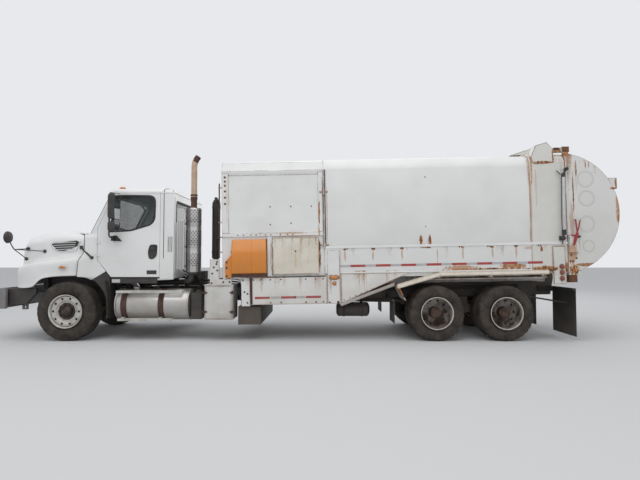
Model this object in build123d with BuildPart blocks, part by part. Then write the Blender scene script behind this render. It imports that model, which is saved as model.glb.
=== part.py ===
# A side-loading refuse truck: a conventional day cab on a tandem-axle chassis, with a
# tipping packer body, a rounded tailgate and a bin-lifting arm on the kerb side.
# x points forward, y to the truck's left, z up; the origin is on the ground, under the
# middle of the truck's length. Sizes are millimetres.

import os
from math import cos, radians, sin, sqrt

from build123d import *

os.makedirs("parts", exist_ok=True)

# Driving sizes of the whole truck
overall_length = 11850
front_overhang = 1311
axle_gap = 7051
tandem_spacing = 1320
body_half_width = 1220
rake_degrees = 1.1
running_gap = 0.3
safe_gap = 6

# Tyres, rims and hubs
front_tyre_radius = 562
front_tyre_width = 385
front_tyre_y = 1015
rear_tyre_radius = 525
rear_tyre_width = 270
rear_outer_tyre_y = 1080
twin_spacing = 330
tyre_sides = 48
tyre_shoulder = 42
rim_radius = 305
rim_wall = 14
hub_radius = 110
hub_cap = 55
spindle_radius = 62

# Steering: the kingpins and their knuckles
kingpin_y = 800
kingpin_radius = 24
boss_radius = 55
boss_height = 124
knuckle_ear = 55

# Chassis frame: u and w are the deck coordinates explained below
frame_half_width = 432
frame_flange = 90
frame_wall = 14
frame_top_w = -118
frame_depth = 270
frame_rear_u = 62
frame_front_u = 10560
cross_depth = 110
cross_width = 90

# Cab, level with the ground
cab_half_width = 1030
cab_wall = 45
cab_rear_x = 2629
cab_rear_wall_depth = 50
door_rear_x = 2900
door_front_x = 4107
door_low_z = 1209
door_notch_x = 3839
door_notch_z = 1543
door_top_z = 2844
cab_floor_z = 1180
cab_floor_depth = 50
cowl_front_x = 4299
cowl_z = 2040
roof_z = 2850
roof_height = 86
roof_crown = 50
door_pin_radius = 7
mirror_post_x = 3760
mirror_post = 38
mirror_y = 1290
mirror_foot_z = 1960
mirror_head_z = 2840
door_hinge_heights = (1640, 1900)
screen_lean = 0.49
screen_bulge = 110
screen_depth = 60
glass_depth = 10

# Hood, hinged at the front
hood_wall = 45
hood_front_x = 5760
hood_hinge_x = 5735
hood_hinge_z = 1030
hood_pin_radius = 13
bumper_half_width = 1200
bumper_depth = 65
bumper_low_z = 615
bumper_top_z = 1001
tow_eye_radius = 22
tow_eye_length = 30

# Packer body and its tailgate
hinge_pin_radius = 32
sill_y = 330
sill_width = 80
body_floor_w = 75
body_floor_depth = 40
body_rear_u = 60
bolster_front_u = 745
hopper_rear_u = 4680
hopper_front_u = 6630
service_hinge_u = 5685
service_hinge_reach = 30
service_pin_radius = 7
service_door_w = (160, 850)
pocket_rear_u = 5690
pocket_depth = 220
pocket_wall_top_w = 1080
band_depth = 40
side_bulge = 34
wall_depth = 45
band_low_w = 150
low_skirt_w = -410
ledge_w = 655
shoulder_drop = 235
roof_corner = 300
roof_w = 2390
roof_rise = 28
bolster_drop = 60
tail_radius = 1153
tail_centre_u = 197
tail_centre_w = 1223
tail_wall = 50
tail_hinge_u = 57
tail_hinge_rise = 117
tail_pin_radius = 20

# Loading arm on the right-hand side
arm_x = 1130
arm_beam_width = 360
arm_beam_low_z = 345
arm_beam_high_z = 615
arm_reach = 1200
housing_wall = 30
housing_mouth = 90
housing_outer_y = -1040
beam_overlap = 480
boom_pivot_y = -1120
boom_pivot_z = 770
boom_width = 120
boom_top_z = 2330
arm_pin_radius = 28
cheek_width = 40
gripper_low_z = 1560
gripper_half_width = 330
claw_y = -1320
claw_length = 540
claw_pin_radius = 18

side_face_y = body_half_width - band_depth
roof_edge_y = side_face_y - roof_corner
pocket_y = body_half_width - pocket_depth
service_hinge_y = side_face_y + service_hinge_reach
shoulder_w = roof_w - shoulder_drop
bolster_top_w = roof_w - bolster_drop
tail_hinge_w = bolster_top_w + tail_hinge_rise
door_hinge_x = door_front_x + safe_gap / 2
door_hinge_y = cab_half_width + door_pin_radius + 9
half_length = overall_length / 2
front_axle_x = half_length - front_overhang
rear_axle_x = [front_axle_x - axle_gap, front_axle_x - axle_gap - tandem_spacing]
rake = radians(rake_degrees)

# The deck frame: u runs forward along the chassis rails, w stands square to them, and its
# origin is the body's rear tipping hinge. The empty truck stands a little tail-high.
hinge_z = 1215
hinge_x = -half_length + tail_radius - tail_centre_u * cos(rake) - tail_centre_w * sin(rake)
deck = Plane(origin=(hinge_x, 0, hinge_z), x_dir=(cos(rake), 0, -sin(rake)), z_dir=(sin(rake), 0, cos(rake)))


def side_plane(y):
    """The upright plane at y, drawn in x and z; extruding goes towards lower y."""
    return Plane(origin=(0, y, 0), x_dir=(1, 0, 0), z_dir=(0, -1, 0))


def deck_side(y):
    """As side_plane, drawn in the deck's u and w."""
    return Plane(origin=(hinge_x, y, hinge_z), x_dir=deck.x_dir, z_dir=(0, -1, 0))


def deck_section(u):
    """The plane square to the rails at u, drawn in y and w; extruding goes forward."""
    return Plane(origin=deck.from_local_coords((u, 0, 0)), x_dir=(0, 1, 0), z_dir=deck.x_dir)


def block(x, y, z, mode=Mode.ADD):
    """Adds a box between the low and high x, y and z."""
    with Locations(((x[0] + x[1]) / 2, (y[0] + y[1]) / 2, (z[0] + z[1]) / 2)):
        Box(x[1] - x[0], y[1] - y[0], z[1] - z[0], mode=mode)


def deck_block(u, y, w, mode=Mode.ADD):
    """As block, in the deck frame."""
    middle = Location(((u[0] + u[1]) / 2, (y[0] + y[1]) / 2, (w[0] + w[1]) / 2))
    with Locations(deck.location * middle):
        Box(u[1] - u[0], y[1] - y[0], w[1] - w[0], mode=mode)


def slab(plane, points, depth, mode=Mode.ADD):
    """Extrudes a closed outline of straight edges from the plane."""
    with BuildSketch(plane) as outline:
        with BuildLine():
            Polyline(*points, close=True)
        make_face()
    extrude(outline.sketch, amount=depth, mode=mode)


def bar(start, end, radius, mode=Mode.ADD):
    """Adds a round bar from one point to another."""
    run = Vector(*end) - Vector(*start)
    with BuildSketch(Plane(origin=start, z_dir=run)) as round_end:
        Circle(radius)
    extrude(round_end.sketch, amount=run.length, mode=mode)


def both_sides(low, high):
    """A span of y on the left side, and the same one on the right side."""
    return [(low, high), (-high, -low)]


def finish(builder, name):
    """Labels a finished piece and writes it to its own file."""
    builder.part.label = name
    export_step(builder.part, f"parts/{name}.step")


def deck_point(u, w):
    """The x and z of a point given in the deck frame."""
    place = deck.from_local_coords((u, 0, w))
    return place.X, place.Z


# Chassis: two channel rails joined by crossmembers, with the tipping hinge's lugs and pin
# behind them
frame_low_w = frame_top_w - frame_depth
frame_inner = frame_half_width - frame_flange
web_inner = frame_half_width - frame_wall
with BuildPart() as chassis_frame:
    for side in (1, -1):
        channel = [
            (frame_inner, frame_low_w),
            (frame_half_width, frame_low_w),
            (frame_half_width, frame_top_w),
            (frame_inner, frame_top_w),
            (frame_inner, frame_top_w - frame_wall),
            (web_inner, frame_top_w - frame_wall),
            (web_inner, frame_low_w + frame_wall),
            (frame_inner, frame_low_w + frame_wall),
        ]
        slab(deck_section(frame_rear_u), [(side * y, w) for y, w in channel], frame_front_u - frame_rear_u)
    for u in (150, 1100, 1894, 2900, 4300, 5600, 7000, 8050, 10430):
        low = frame_top_w - frame_wall - cross_depth
        cross_u = (u - cross_width / 2, u + cross_width / 2)
        deck_block(cross_u, (-web_inner, web_inner), (low, low + cross_depth))
    lug = [(210, frame_top_w), (210, frame_low_w), (20, frame_low_w), (-48, -60), (-48, 25), (-25, 48)]
    lug += [(25, 48), (48, 25), (110, frame_top_w)]
    for low, high in both_sides(frame_inner + 38, web_inner):
        slab(deck_side(high), lug, high - low)
    pin_x, pin_z = deck_point(0, 0)
    bar((pin_x, -web_inner, pin_z), (pin_x, web_inner, pin_z), hinge_pin_radius)
finish(chassis_frame, "chassis_frame")

# Front bumper: a pressed bar with swept-back ends, its brackets on the rails, the two
# stands that carry the hood's hinge, and two tow lugs
bumper_back_x = half_length - bumper_depth
bracket_rear_x = deck_point(frame_front_u, frame_top_w)[0] - 160
stand_y = (335, 372)
with BuildPart() as front_bumper:
    block((bumper_back_x, half_length), (-bumper_half_width, bumper_half_width), (bumper_low_z, bumper_top_z))
    for low, high in both_sides(bumper_half_width - 60, bumper_half_width):
        block((half_length - 173, half_length), (low, high), (bumper_low_z, bumper_top_z))
    for low, high in both_sides(frame_half_width, frame_half_width + 45):
        block((bracket_rear_x, bumper_back_x), (low, high), (bumper_low_z + 50, 880))
    for low, high in both_sides(stand_y[0], frame_half_width + 45):
        block((hood_hinge_x - 22, bumper_back_x), (low, high), (840, 880))
    for low, high in both_sides(*stand_y):
        block((hood_hinge_x - 22, hood_hinge_x + 22), (low, high), (840, hood_hinge_z))
        bar((hood_hinge_x, low, hood_hinge_z), (hood_hinge_x, high, hood_hinge_z), 22)
    for side in (1, -1):
        pin_ends = [(hood_hinge_x, side * y, hood_hinge_z) for y in (stand_y[0], stand_y[1] + 38)]
        bar(*pin_ends, hood_pin_radius)
    for low, high in both_sides(frame_half_width, frame_half_width + tow_eye_length):
        block((bumper_back_x - 60, half_length - 10), (low, high), (bumper_low_z - 95, bumper_low_z + 60))
        centre = (half_length - 70, low - 1, bumper_low_z - 48)
        bar(centre, (centre[0], high + 1, centre[2]), tow_eye_radius, Mode.SUBTRACT)
finish(front_bumper, "front_bumper")

# Engine: one plain block with its gearbox, its feet on the rails and the radiator ahead
engine_rear_x = 4258
engine_front_x = 5298
gearbox_rear_x = 3300
with BuildPart() as engine_block:
    block((engine_rear_x, engine_front_x), (-330, 330), (560, 1500))
    block((gearbox_rear_x + 12, engine_rear_x), (-200, 200), (650, 960))
    deck_block((9500, 9640), (-frame_half_width, frame_half_width), (frame_top_w, frame_top_w + 28))
    block((engine_front_x, 5420), (-300, 300), (1000, 1600))
    block((5420, 5520), (-410, 410), (950, 1840))
finish(engine_block, "engine_block")

# Front axle: a drop beam with the kingpins in its ends, on two leaf springs
axle_z = front_tyre_radius
beam = [(0, -162), (560, -162), (700, -50), (kingpin_y, -boss_height / 2), (kingpin_y, boss_height / 2)]
beam += [(690, boss_height / 2), (520, -80), (0, -80)]
spring_u = 9607
with BuildPart() as front_axle:
    for side in (1, -1):
        points = [(side * y, axle_z + z) for y, z in beam]
        slab(Plane.YZ.offset(front_axle_x - 40), points, 80)
        low, high = axle_z - boss_height / 2, axle_z + boss_height / 2
        bar((front_axle_x, side * kingpin_y, low), (front_axle_x, side * kingpin_y, high), boss_radius)
        bar(
            (front_axle_x, side * kingpin_y, low - knuckle_ear - 8),
            (front_axle_x, side * kingpin_y, high + knuckle_ear + 8),
            kingpin_radius,
        )
    for low, high in both_sides(frame_inner + 8, frame_half_width - 2):
        leaf = [(-715, -460), (-300, -530), (300, -530), (715, -460), (715, -425), (300, -470), (-300, -470)]
        leaf += [(-715, -425)]
        slab(deck_side(high), [(spring_u + u, w) for u, w in leaf], high - low)
        for u in (spring_u - 715, spring_u + 645):
            deck_block((u, u + 70), (low, high), (-460, frame_low_w))
        block((front_axle_x - 60, front_axle_x + 60), (low, high), (axle_z - 162, axle_z - 50))
finish(front_axle, "front_axle")

# Knuckles: a yoke on each kingpin, with the wheel's spindle
ear_gap = safe_gap - 1
spindle_inner_y = kingpin_y + 62
spindle_length = 150
for side, name in ((1, "knuckle_left"), (-1, "knuckle_right")):
    with BuildPart() as knuckle:
        low, high = axle_z - boss_height / 2 - ear_gap, axle_z + boss_height / 2 + ear_gap
        for z in ((low - knuckle_ear, low), (high, high + knuckle_ear)):
            bar((front_axle_x, side * kingpin_y, z[0]), (front_axle_x, side * kingpin_y, z[1]), boss_radius)
            span = sorted((side * kingpin_y, side * (spindle_inner_y + 28)))
            block((front_axle_x - boss_radius, front_axle_x + boss_radius), span, z)
        span = sorted((side * spindle_inner_y, side * (spindle_inner_y + 28)))
        ear_z = (low - knuckle_ear, high + knuckle_ear)
        block((front_axle_x - boss_radius, front_axle_x + boss_radius), span, ear_z)
        bar(
            (front_axle_x, side * (spindle_inner_y + 14), axle_z),
            (front_axle_x, side * (spindle_inner_y + 28 + spindle_length), axle_z),
            spindle_radius,
        )
        bar(
            (front_axle_x, side * kingpin_y, low - 2 * knuckle_ear),
            (front_axle_x, side * kingpin_y, high + 2 * knuckle_ear),
            kingpin_radius + running_gap,
            Mode.SUBTRACT,
        )
    finish(knuckle, name)

# Rear axles: two housings with their spindles, the walking beams with their saddles on the
# rails, and the propeller shafts
rear_z = rear_tyre_radius
rear_spindle_y = rear_outer_tyre_y
saddle_x = (rear_axle_x[0] + rear_axle_x[1]) / 2
with BuildPart() as rear_axles:
    for x in rear_axle_x:
        bar((x, -rear_spindle_y, rear_z), (x, rear_spindle_y, rear_z), spindle_radius)
        bar((x, -575, rear_z), (x, 575, rear_z), 88)
        bar((x, -170, rear_z), (x, 170, rear_z), 190)
    walking = [(rear_axle_x[1] - 90, 470), (rear_axle_x[0] + 90, 470), (rear_axle_x[0] + 90, 570)]
    walking += [(saddle_x + 150, 640), (saddle_x - 150, 640), (rear_axle_x[1] - 90, 570)]
    saddle_u = (saddle_x - hinge_x) / cos(rake)
    for low, high in both_sides(frame_inner + 8, 560):
        outer = (high - 90, high) if high > 0 else (low, low + 90)
        slab(side_plane(outer[1]), walking, 90)
        deck_block((saddle_u - 110, saddle_u + 110), (low, high), (-600, frame_low_w))
    bar((rear_axle_x[1], 0, 560), (rear_axle_x[0], 0, 560), 45)
    bar((rear_axle_x[0] + 100, 0, 650), (gearbox_rear_x, 0, 745), 38)
finish(rear_axles, "rear_axles")


def tyre_section(x, y, radius, size):
    """A flat-sided ring's outline at y, standing on one of its flats."""
    with BuildSketch(side_plane(y)) as section:
        with Locations((x, radius)):
            RegularPolygon(size, tyre_sides, major_radius=False, rotation=180 / tyre_sides)
    return section.sketch


def add_tyre(x, y, radius, width):
    """Adds a tyre of flat treads with chamfered shoulders round the rim's bore."""
    tread = width - 2 * tyre_shoulder
    extrude(tyre_section(x, y + tread / 2, radius, radius), amount=tread)
    for edge in (1, -1):
        tread_end = tyre_section(x, y + edge * tread / 2, radius, radius)
        side_wall = tyre_section(x, y + edge * width / 2, radius, radius - tyre_shoulder)
        loft([tread_end, side_wall], ruled=True)
    cutter = tyre_section(x, y + width, radius, rim_radius + running_gap)
    extrude(cutter, amount=2 * width, mode=Mode.SUBTRACT)


def add_rim(x, z, side, profile):
    """Turns a rim about its axle from a profile of radius and distance from the middle."""
    with BuildSketch(Plane(origin=(x, 0, z), x_dir=(0, 0, 1), z_dir=(-side, 0, 0))) as half:
        with BuildLine():
            Polyline(*profile, close=True)
        make_face()
    revolve(half.sketch, Axis((x, 0, z), (0, 1, 0)))


# Wheels: single wide tyres at the front, twin tyres at the rear, each rim turned with its
# disc and hub, which runs on the spindle
barrel = rim_radius - rim_wall
spindle_bore = spindle_radius + running_gap
front_disc_y = front_tyre_y + 60
front_hub_y = front_tyre_y + 150
front_edge = front_tyre_width / 2 - 12
front_profile = [
    (rim_radius, front_tyre_y - front_edge),
    (rim_radius, front_tyre_y + front_edge),
    (barrel, front_tyre_y + front_edge),
    (barrel, front_disc_y),
    (hub_radius + 30, front_disc_y + 35),
    (hub_radius, front_hub_y),
    (0, front_hub_y),
    (0, front_hub_y - hub_cap),
    (spindle_bore, front_hub_y - hub_cap),
    (spindle_bore, front_disc_y - 90),
    (hub_radius, front_disc_y - 90),
    (hub_radius, front_disc_y),
    (barrel, front_disc_y - 20),
    (barrel, front_tyre_y - front_edge),
]
inner_tyre_y = rear_outer_tyre_y - twin_spacing
twin_middle_y = rear_outer_tyre_y - twin_spacing / 2
rear_hub_y = rear_outer_tyre_y + 75
rear_edge = rear_tyre_width / 2 - 12
rear_profile = [
    (rim_radius, rear_outer_tyre_y + rear_edge),
    (barrel, rear_outer_tyre_y + rear_edge),
    (barrel, twin_middle_y + 20),
    (hub_radius + 30, twin_middle_y + 45),
    (hub_radius, rear_hub_y),
    (0, rear_hub_y),
    (0, rear_hub_y - hub_cap),
    (spindle_bore, rear_hub_y - hub_cap),
    (spindle_bore, inner_tyre_y - 60),
    (hub_radius, inner_tyre_y - 60),
    (hub_radius + 30, twin_middle_y - 45),
    (barrel, twin_middle_y - 20),
    (barrel, inner_tyre_y - rear_edge),
    (rim_radius, inner_tyre_y - rear_edge),
    (rim_radius, inner_tyre_y + rear_edge),
    (rim_radius - rim_wall / 2, inner_tyre_y + rear_edge),
    (rim_radius - rim_wall / 2, rear_outer_tyre_y - rear_edge),
    (rim_radius, rear_outer_tyre_y - rear_edge),
]
# columns: name, side, x, tyre radius, tyre width, tyre centres, rim profile
wheels = []
for side, hand in ((1, "left"), (-1, "right")):
    wheels.append(
        (
            f"front_{hand}", side, front_axle_x,
            front_tyre_radius, front_tyre_width, [front_tyre_y], front_profile,
        )
    )
    for x, place in zip(rear_axle_x, ("middle", "rear")):
        twins = [rear_outer_tyre_y, inner_tyre_y]
        wheels.append((f"{place}_{hand}", side, x, rear_tyre_radius, rear_tyre_width, twins, rear_profile))
for name, side, x, radius, width, tyre_centres, profile in wheels:
    with BuildPart() as tyres:
        for y in tyre_centres:
            add_tyre(x, side * y, radius, width)
    finish(tyres, f"tyre_{name}")
    with BuildPart() as rim:
        add_rim(x, radius, side, profile)
    finish(rim, f"rim_{name}")


# Cab floor with its sloping toe board, on four mounts that stand on the rails
floor_top = cab_floor_z + cab_floor_depth
floor_half_width = cab_half_width - cab_wall - safe_gap
with BuildPart() as cab_floor:
    outline = [
        (cab_rear_x + cab_rear_wall_depth, cab_floor_z),
        (3850, cab_floor_z),
        (4150, door_notch_z),
        (cowl_front_x - 9, door_notch_z),
        (cowl_front_x - 9, door_notch_z + cab_floor_depth),
        (4120, door_notch_z + cab_floor_depth),
        (3825, floor_top),
        (cab_rear_x + cab_rear_wall_depth, floor_top),
    ]
    slab(side_plane(floor_half_width), outline, 2 * floor_half_width)
    for low, high in both_sides(frame_inner, frame_half_width):
        for u in (7720, 8700):
            deck_block((u, u + 90), (low, high), (frame_top_w, cab_floor_z - hinge_z + 190))
finish(cab_floor, "cab_floor")


def screen_x(z, inset=0):
    """The x of the windscreen's side edge at z, or of a line that far inside it."""
    return cowl_front_x - 54 - screen_lean * (z - cowl_z) - inset * sqrt(1 + screen_lean**2)


def screen_band(outer, inner, half_width, rise, low=0):
    """Adds a curved band that leans back with the windscreen, between two insets."""
    slope = Vector(-screen_lean, 0, 1).normalized()
    start = Vector(screen_x(cowl_z), 0, cowl_z) + slope * low
    bulge = screen_bulge * (half_width / cab_half_width) ** 2
    edge = screen_bulge - bulge
    with BuildSketch(Plane(origin=start, x_dir=(0, 1, 0), z_dir=slope)) as band:
        with BuildLine():
            front = ThreePointArc(
                (-half_width, outer - edge), (0, outer - screen_bulge), (half_width, outer - edge)
            )
            back = ThreePointArc(
                (-half_width, inner - edge), (0, inner - screen_bulge), (half_width, inner - edge)
            )
            Line(front @ 0, back @ 0)
            Line(front @ 1, back @ 1)
        make_face()
    extrude(band.sketch, amount=rise)


# Cab front: firewall, cowl with its side panels, and the curved windscreen frame
screen_rise = (roof_z - cowl_z) * sqrt(1 + screen_lean**2)
glass_low = 75
glass_high = screen_rise - 95
glass_half_width = 900
with BuildPart() as cab_front:
    screen_band(0, screen_depth, cab_half_width, screen_rise + 60)
    slope = Vector(-screen_lean, 0, 1).normalized()
    middle = Vector(screen_x(cowl_z), 0, cowl_z) + slope * ((glass_low + glass_high) / 2)
    window = Plane(origin=middle, x_dir=(0, 1, 0), z_dir=slope)
    with Locations(window.location):
        Box(2 * glass_half_width, 600, glass_high - glass_low, mode=Mode.SUBTRACT)
    block((3500, 4400), (-1100, 1100), (roof_z, roof_z + 200), Mode.SUBTRACT)
    cowl_span = (-cab_half_width, cab_half_width)
    block((cowl_front_x - 59, cowl_front_x - 9), cowl_span, (door_notch_z + 50, cowl_z))
    block((cowl_front_x - 140, cowl_front_x), (-cab_half_width, cab_half_width), (cowl_z - 45, cowl_z))
    panel_rear_x = door_front_x + safe_gap
    panel = [(panel_rear_x, door_notch_z + 2), (cowl_front_x, door_notch_z + 2), (cowl_front_x, cowl_z)]
    panel_top_z = cowl_z + 115
    panel += [(screen_x(cowl_z), cowl_z), (screen_x(panel_top_z), panel_top_z), (panel_rear_x, panel_top_z)]
    for low, high in both_sides(cab_half_width - cab_wall, cab_half_width):
        slab(side_plane(high), panel, cab_wall)
    for side in (1, -1):
        for z in door_hinge_heights:
            pin_y = side * door_hinge_y
            bar((door_hinge_x, pin_y, z - 40), (door_hinge_x, pin_y, z + 40), door_pin_radius)
            span = sorted((side * cab_half_width, side * (door_hinge_y + door_pin_radius)))
            block((door_hinge_x, door_hinge_x + 40), span, (z + 8, z + 38))
finish(cab_front, "cab_front")

# Glass of the windscreen and of the rear window, set in their openings
rear_window_y = 880
rear_window_z = (2290, 2700)
with BuildPart() as cab_glass:
    screen_band(20, 20 + glass_depth, glass_half_width, glass_high - glass_low, glass_low)
    middle_x = cab_rear_x + cab_rear_wall_depth / 2
    window_x = (middle_x - glass_depth / 2, middle_x + glass_depth / 2)
    block(window_x, (-rear_window_y, rear_window_y), rear_window_z)
finish(cab_glass, "cab_glass")

# Cab rear wall with the rear window's opening, and the posts that the doors shut on
with BuildPart() as cab_rear_wall:
    wall_x = (cab_rear_x, cab_rear_x + cab_rear_wall_depth)
    block(wall_x, (-cab_half_width, cab_half_width), (cab_floor_z, roof_z))
    block(wall_x, (-rear_window_y, rear_window_y), rear_window_z, Mode.SUBTRACT)
    for low, high in both_sides(cab_half_width - cab_wall, cab_half_width):
        block((wall_x[1], door_rear_x - safe_gap), (low, high), (cab_floor_z, roof_z))
finish(cab_rear_wall, "cab_rear_wall")

# Cab roof: a pressed dome with rounded edges, and a raised middle
with BuildPart() as cab_roof:
    with BuildSketch(Plane.XY.offset(roof_z)) as roof_outline:
        with BuildLine():
            roof_front_x = screen_x(roof_z)
            brow = ThreePointArc(
                (roof_front_x, -cab_half_width), (roof_front_x + 105, 0), (roof_front_x, cab_half_width)
            )
            Polyline(brow @ 1, (cab_rear_x, cab_half_width), (cab_rear_x, -cab_half_width), brow @ 0)
        make_face()
    extrude(roof_outline.sketch, amount=roof_height)
    chamfer(cab_roof.faces().sort_by(Axis.Z)[-1].edges(), 62)
    dome = [(2760, roof_z + roof_height), (3600, roof_z + roof_height), (3520, roof_z + roof_height + 30)]
    dome += [(3280, roof_z + roof_height + roof_crown), (2900, roof_z + roof_height + roof_crown)]
    slab(side_plane(780), dome, 1560)
finish(cab_roof, "cab_roof")

# Quarter fenders: the cab's fixed panels between the hood and the doors, flared out over
# the wheel ahead of the door
with BuildPart() as cab_fenders:
    flush = [(3868, 1226), (door_front_x + 4, door_notch_z - 6), (4388, door_notch_z - 6), (4440, 1205)]
    flush += [(4165, 1155)]
    fender_flare_y = 1072
    flare = [(4150, 1160), (4440, 1205), (4402, 1470), (4240, 1440)]
    for side in (1, -1):
        low, high = sorted((side * floor_half_width, side * (cab_half_width - 2)))
        slab(side_plane(high), flush, high - low)
        low, high = sorted((side * (cab_half_width - 2), side * fender_flare_y))
        slab(side_plane(high), flare, high - low)
finish(cab_fenders, "cab_fenders")

# Seats: one each side, a pedestal with a cushion and a leaning back
with BuildPart() as seats:
    pedestal = [(2960, floor_top), (3300, floor_top), (3300, 1500), (3420, 1520), (3420, 1650), (2950, 1640)]
    pedestal += [(2860, 2330), (2770, 2330), (2800, 1560), (2960, 1500)]
    for low, high in both_sides(270, 780):
        slab(side_plane(high), pedestal, high - low)
finish(seats, "seats")

# Dashboard against the firewall, with the steering column and its wheel on the left
wheel_y = 430
with BuildPart() as dashboard:
    dash_front_x = cowl_front_x - 59
    dash = [(3950, 1800), (4180, 1600), (dash_front_x, 1620), (dash_front_x, 1990), (4060, 1990)]
    slab(side_plane(950), dash, 1900)
    bar((4040, wheel_y, 1850), (3760, wheel_y, 1960), 30)
    hub = Plane(origin=(3760, wheel_y, 1960), z_dir=(-0.55, 0, 0.83))
    with BuildSketch(hub) as spokes:
        Rectangle(450, 60)
        Rectangle(60, 450)
    extrude(spokes.sketch, amount=14, both=True)
    with BuildSketch(hub) as rim_ring:
        Circle(238)
        Circle(208, mode=Mode.SUBTRACT)
    extrude(rim_ring.sketch, amount=15, both=True)
finish(dashboard, "dashboard")

# Tanks along the frame: the round fuel tank with its straps and steps, a square fluid tank
# behind it and an air tank further back, each with its brackets on the left rail
tank_radius = 300
tank_y = 850
tank_z = 671
tank_x = (2292, 3731)
strap_depth = 12
step_y = (tank_y + tank_radius + strap_depth - 2, tank_y + tank_radius + strap_depth + 22)
with BuildPart() as side_tanks:
    bar((tank_x[0], tank_y, tank_z), (tank_x[1], tank_y, tank_z), tank_radius)
    for x in (2830, 3540):
        bar((x - 60, tank_y, tank_z), (x + 60, tank_y, tank_z), tank_radius + strap_depth)
        block((x - 60, x + 60), (frame_half_width, tank_y - 200), (tank_z - 100, tank_z + 240))
        block((x - 45, x + 45), step_y, (400, 950))
    block((2411, 3669), (1000, step_y[1]), (922, 950))
    block((2608, 3634), (1000, step_y[1]), (393, 425))
    block((2060, 2262), (700, 1090), (400, 925))
    block((2080, 2180), (frame_half_width, 700), (720, 860))
    bar((-1202, 700, 555), (-537, 700, 555), 142)
    for x in (-1050, -690):
        block((x - 30, x + 30), (frame_half_width, 600), (620, 850))
        bar((x - 30, 700, 555), (x + 30, 700, 555), 150)
finish(side_tanks, "side_tanks")

# Battery box under the right-hand door, with its two steps
with BuildPart() as battery_box:
    block((2560, 3560), (-1120, -560), (450, 930))
    block((2700, 3420), (-560, -frame_half_width), (700, 860))
    block((2608, 3634), (-step_y[1], -1000), (922, 950))
    block((2608, 3634), (-step_y[1], -1000), (393, 425))
    for x in (2830, 3540):
        block((x - 45, x + 45), (-step_y[1], -1110), (400, 950))
finish(battery_box, "battery_box")

# Exhaust: a shielded silencer standing behind the cab, with its tail pipe and bracket
stack_x, stack_y = 2278, 900
stack_z = (1298, 2561)
with BuildPart() as exhaust_stack:
    bar((stack_x, stack_y, stack_z[0]), (stack_x, stack_y, stack_z[1]), 147)
    bar((stack_x, stack_y, stack_z[1]), (stack_x, stack_y, 3440), 60)
    bar((stack_x, stack_y, 3410), (stack_x - 60, stack_y, 3590), 58)
    block((stack_x - 78, stack_x + 78), (frame_half_width, stack_y + 90), (stack_z[0] - 40, stack_z[0] + 20))
    block((stack_x - 78, stack_x - 20), (frame_half_width, frame_half_width + 60), (830, stack_z[0]))
finish(exhaust_stack, "exhaust_stack")

# Service cabinet hung from the frame behind the cab, with its bolted bracket plate
with BuildPart() as service_cabinet:
    block((1439, 1971), (700, body_half_width), (412, 1058))
    block((1480, 1930), (frame_half_width, 700), (760, 900))
    plate = [(1458, 1050), (1876, 1050), (1876, 1552), (1700, 1552), (1700, 1180), (1458, 1180)]
    slab(side_plane(body_half_width), plate, 40)
finish(service_cabinet, "service_cabinet")

# Hoist cylinder: a telescopic cylinder upright between cab and body, on its cross base
hoist_x = 2043
with BuildPart() as hoist_cylinder:
    base_u = (hoist_x - hinge_x) / cos(rake)
    base_y = (-frame_half_width, frame_half_width)
    deck_block((base_u - 90, base_u + 90), base_y, (frame_top_w, frame_top_w + 120))
    bar((hoist_x, 0, 1050), (hoist_x, 0, 1600), 60)
    bar((hoist_x, 0, 1568), (hoist_x, 0, 2783), 87)
finish(hoist_cylinder, "hoist_cylinder")

# Mud flaps and splash shields: rubber sheets on steel hangers
with BuildPart() as mud_flaps:
    shield = [(3905, 1140), (3868, 900), (3852, 562), (3868, 420)]
    shield += [(x - 14, z) for x, z in reversed(shield)]
    for side in (1, -1):
        low, high = sorted((side * 700, side * 1150))
        slab(side_plane(high), shield, high - low)
        low, high = sorted((side * frame_half_width, side * 760))
        block((3838, 3862), (low, high), (700, 760))
        low, high = sorted((side * 605, side * 1215))
        block((-5062, -5050), (low, high), (89, 1000))
        low, high = sorted((side * frame_half_width, side * 1215))
        block((-5050, -5016), (low, high), (950, 1000))
        low, high = sorted((side * frame_half_width, side * (frame_half_width + 40)))
        block((-5050, -4700), (low, high), (900, 1000))
        low, high = sorted((side * 640, side * 1200))
        block((-1630, -1618), (low, high), (336, 790))
        low, high = sorted((side * frame_half_width, side * 1200))
        block((-1618, -1588), (low, high), (750, 790))
        block((-1618, -1560), sorted((side * frame_half_width, side * (frame_half_width + 30))), (750, 860))
finish(mud_flaps, "mud_flaps")

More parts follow.
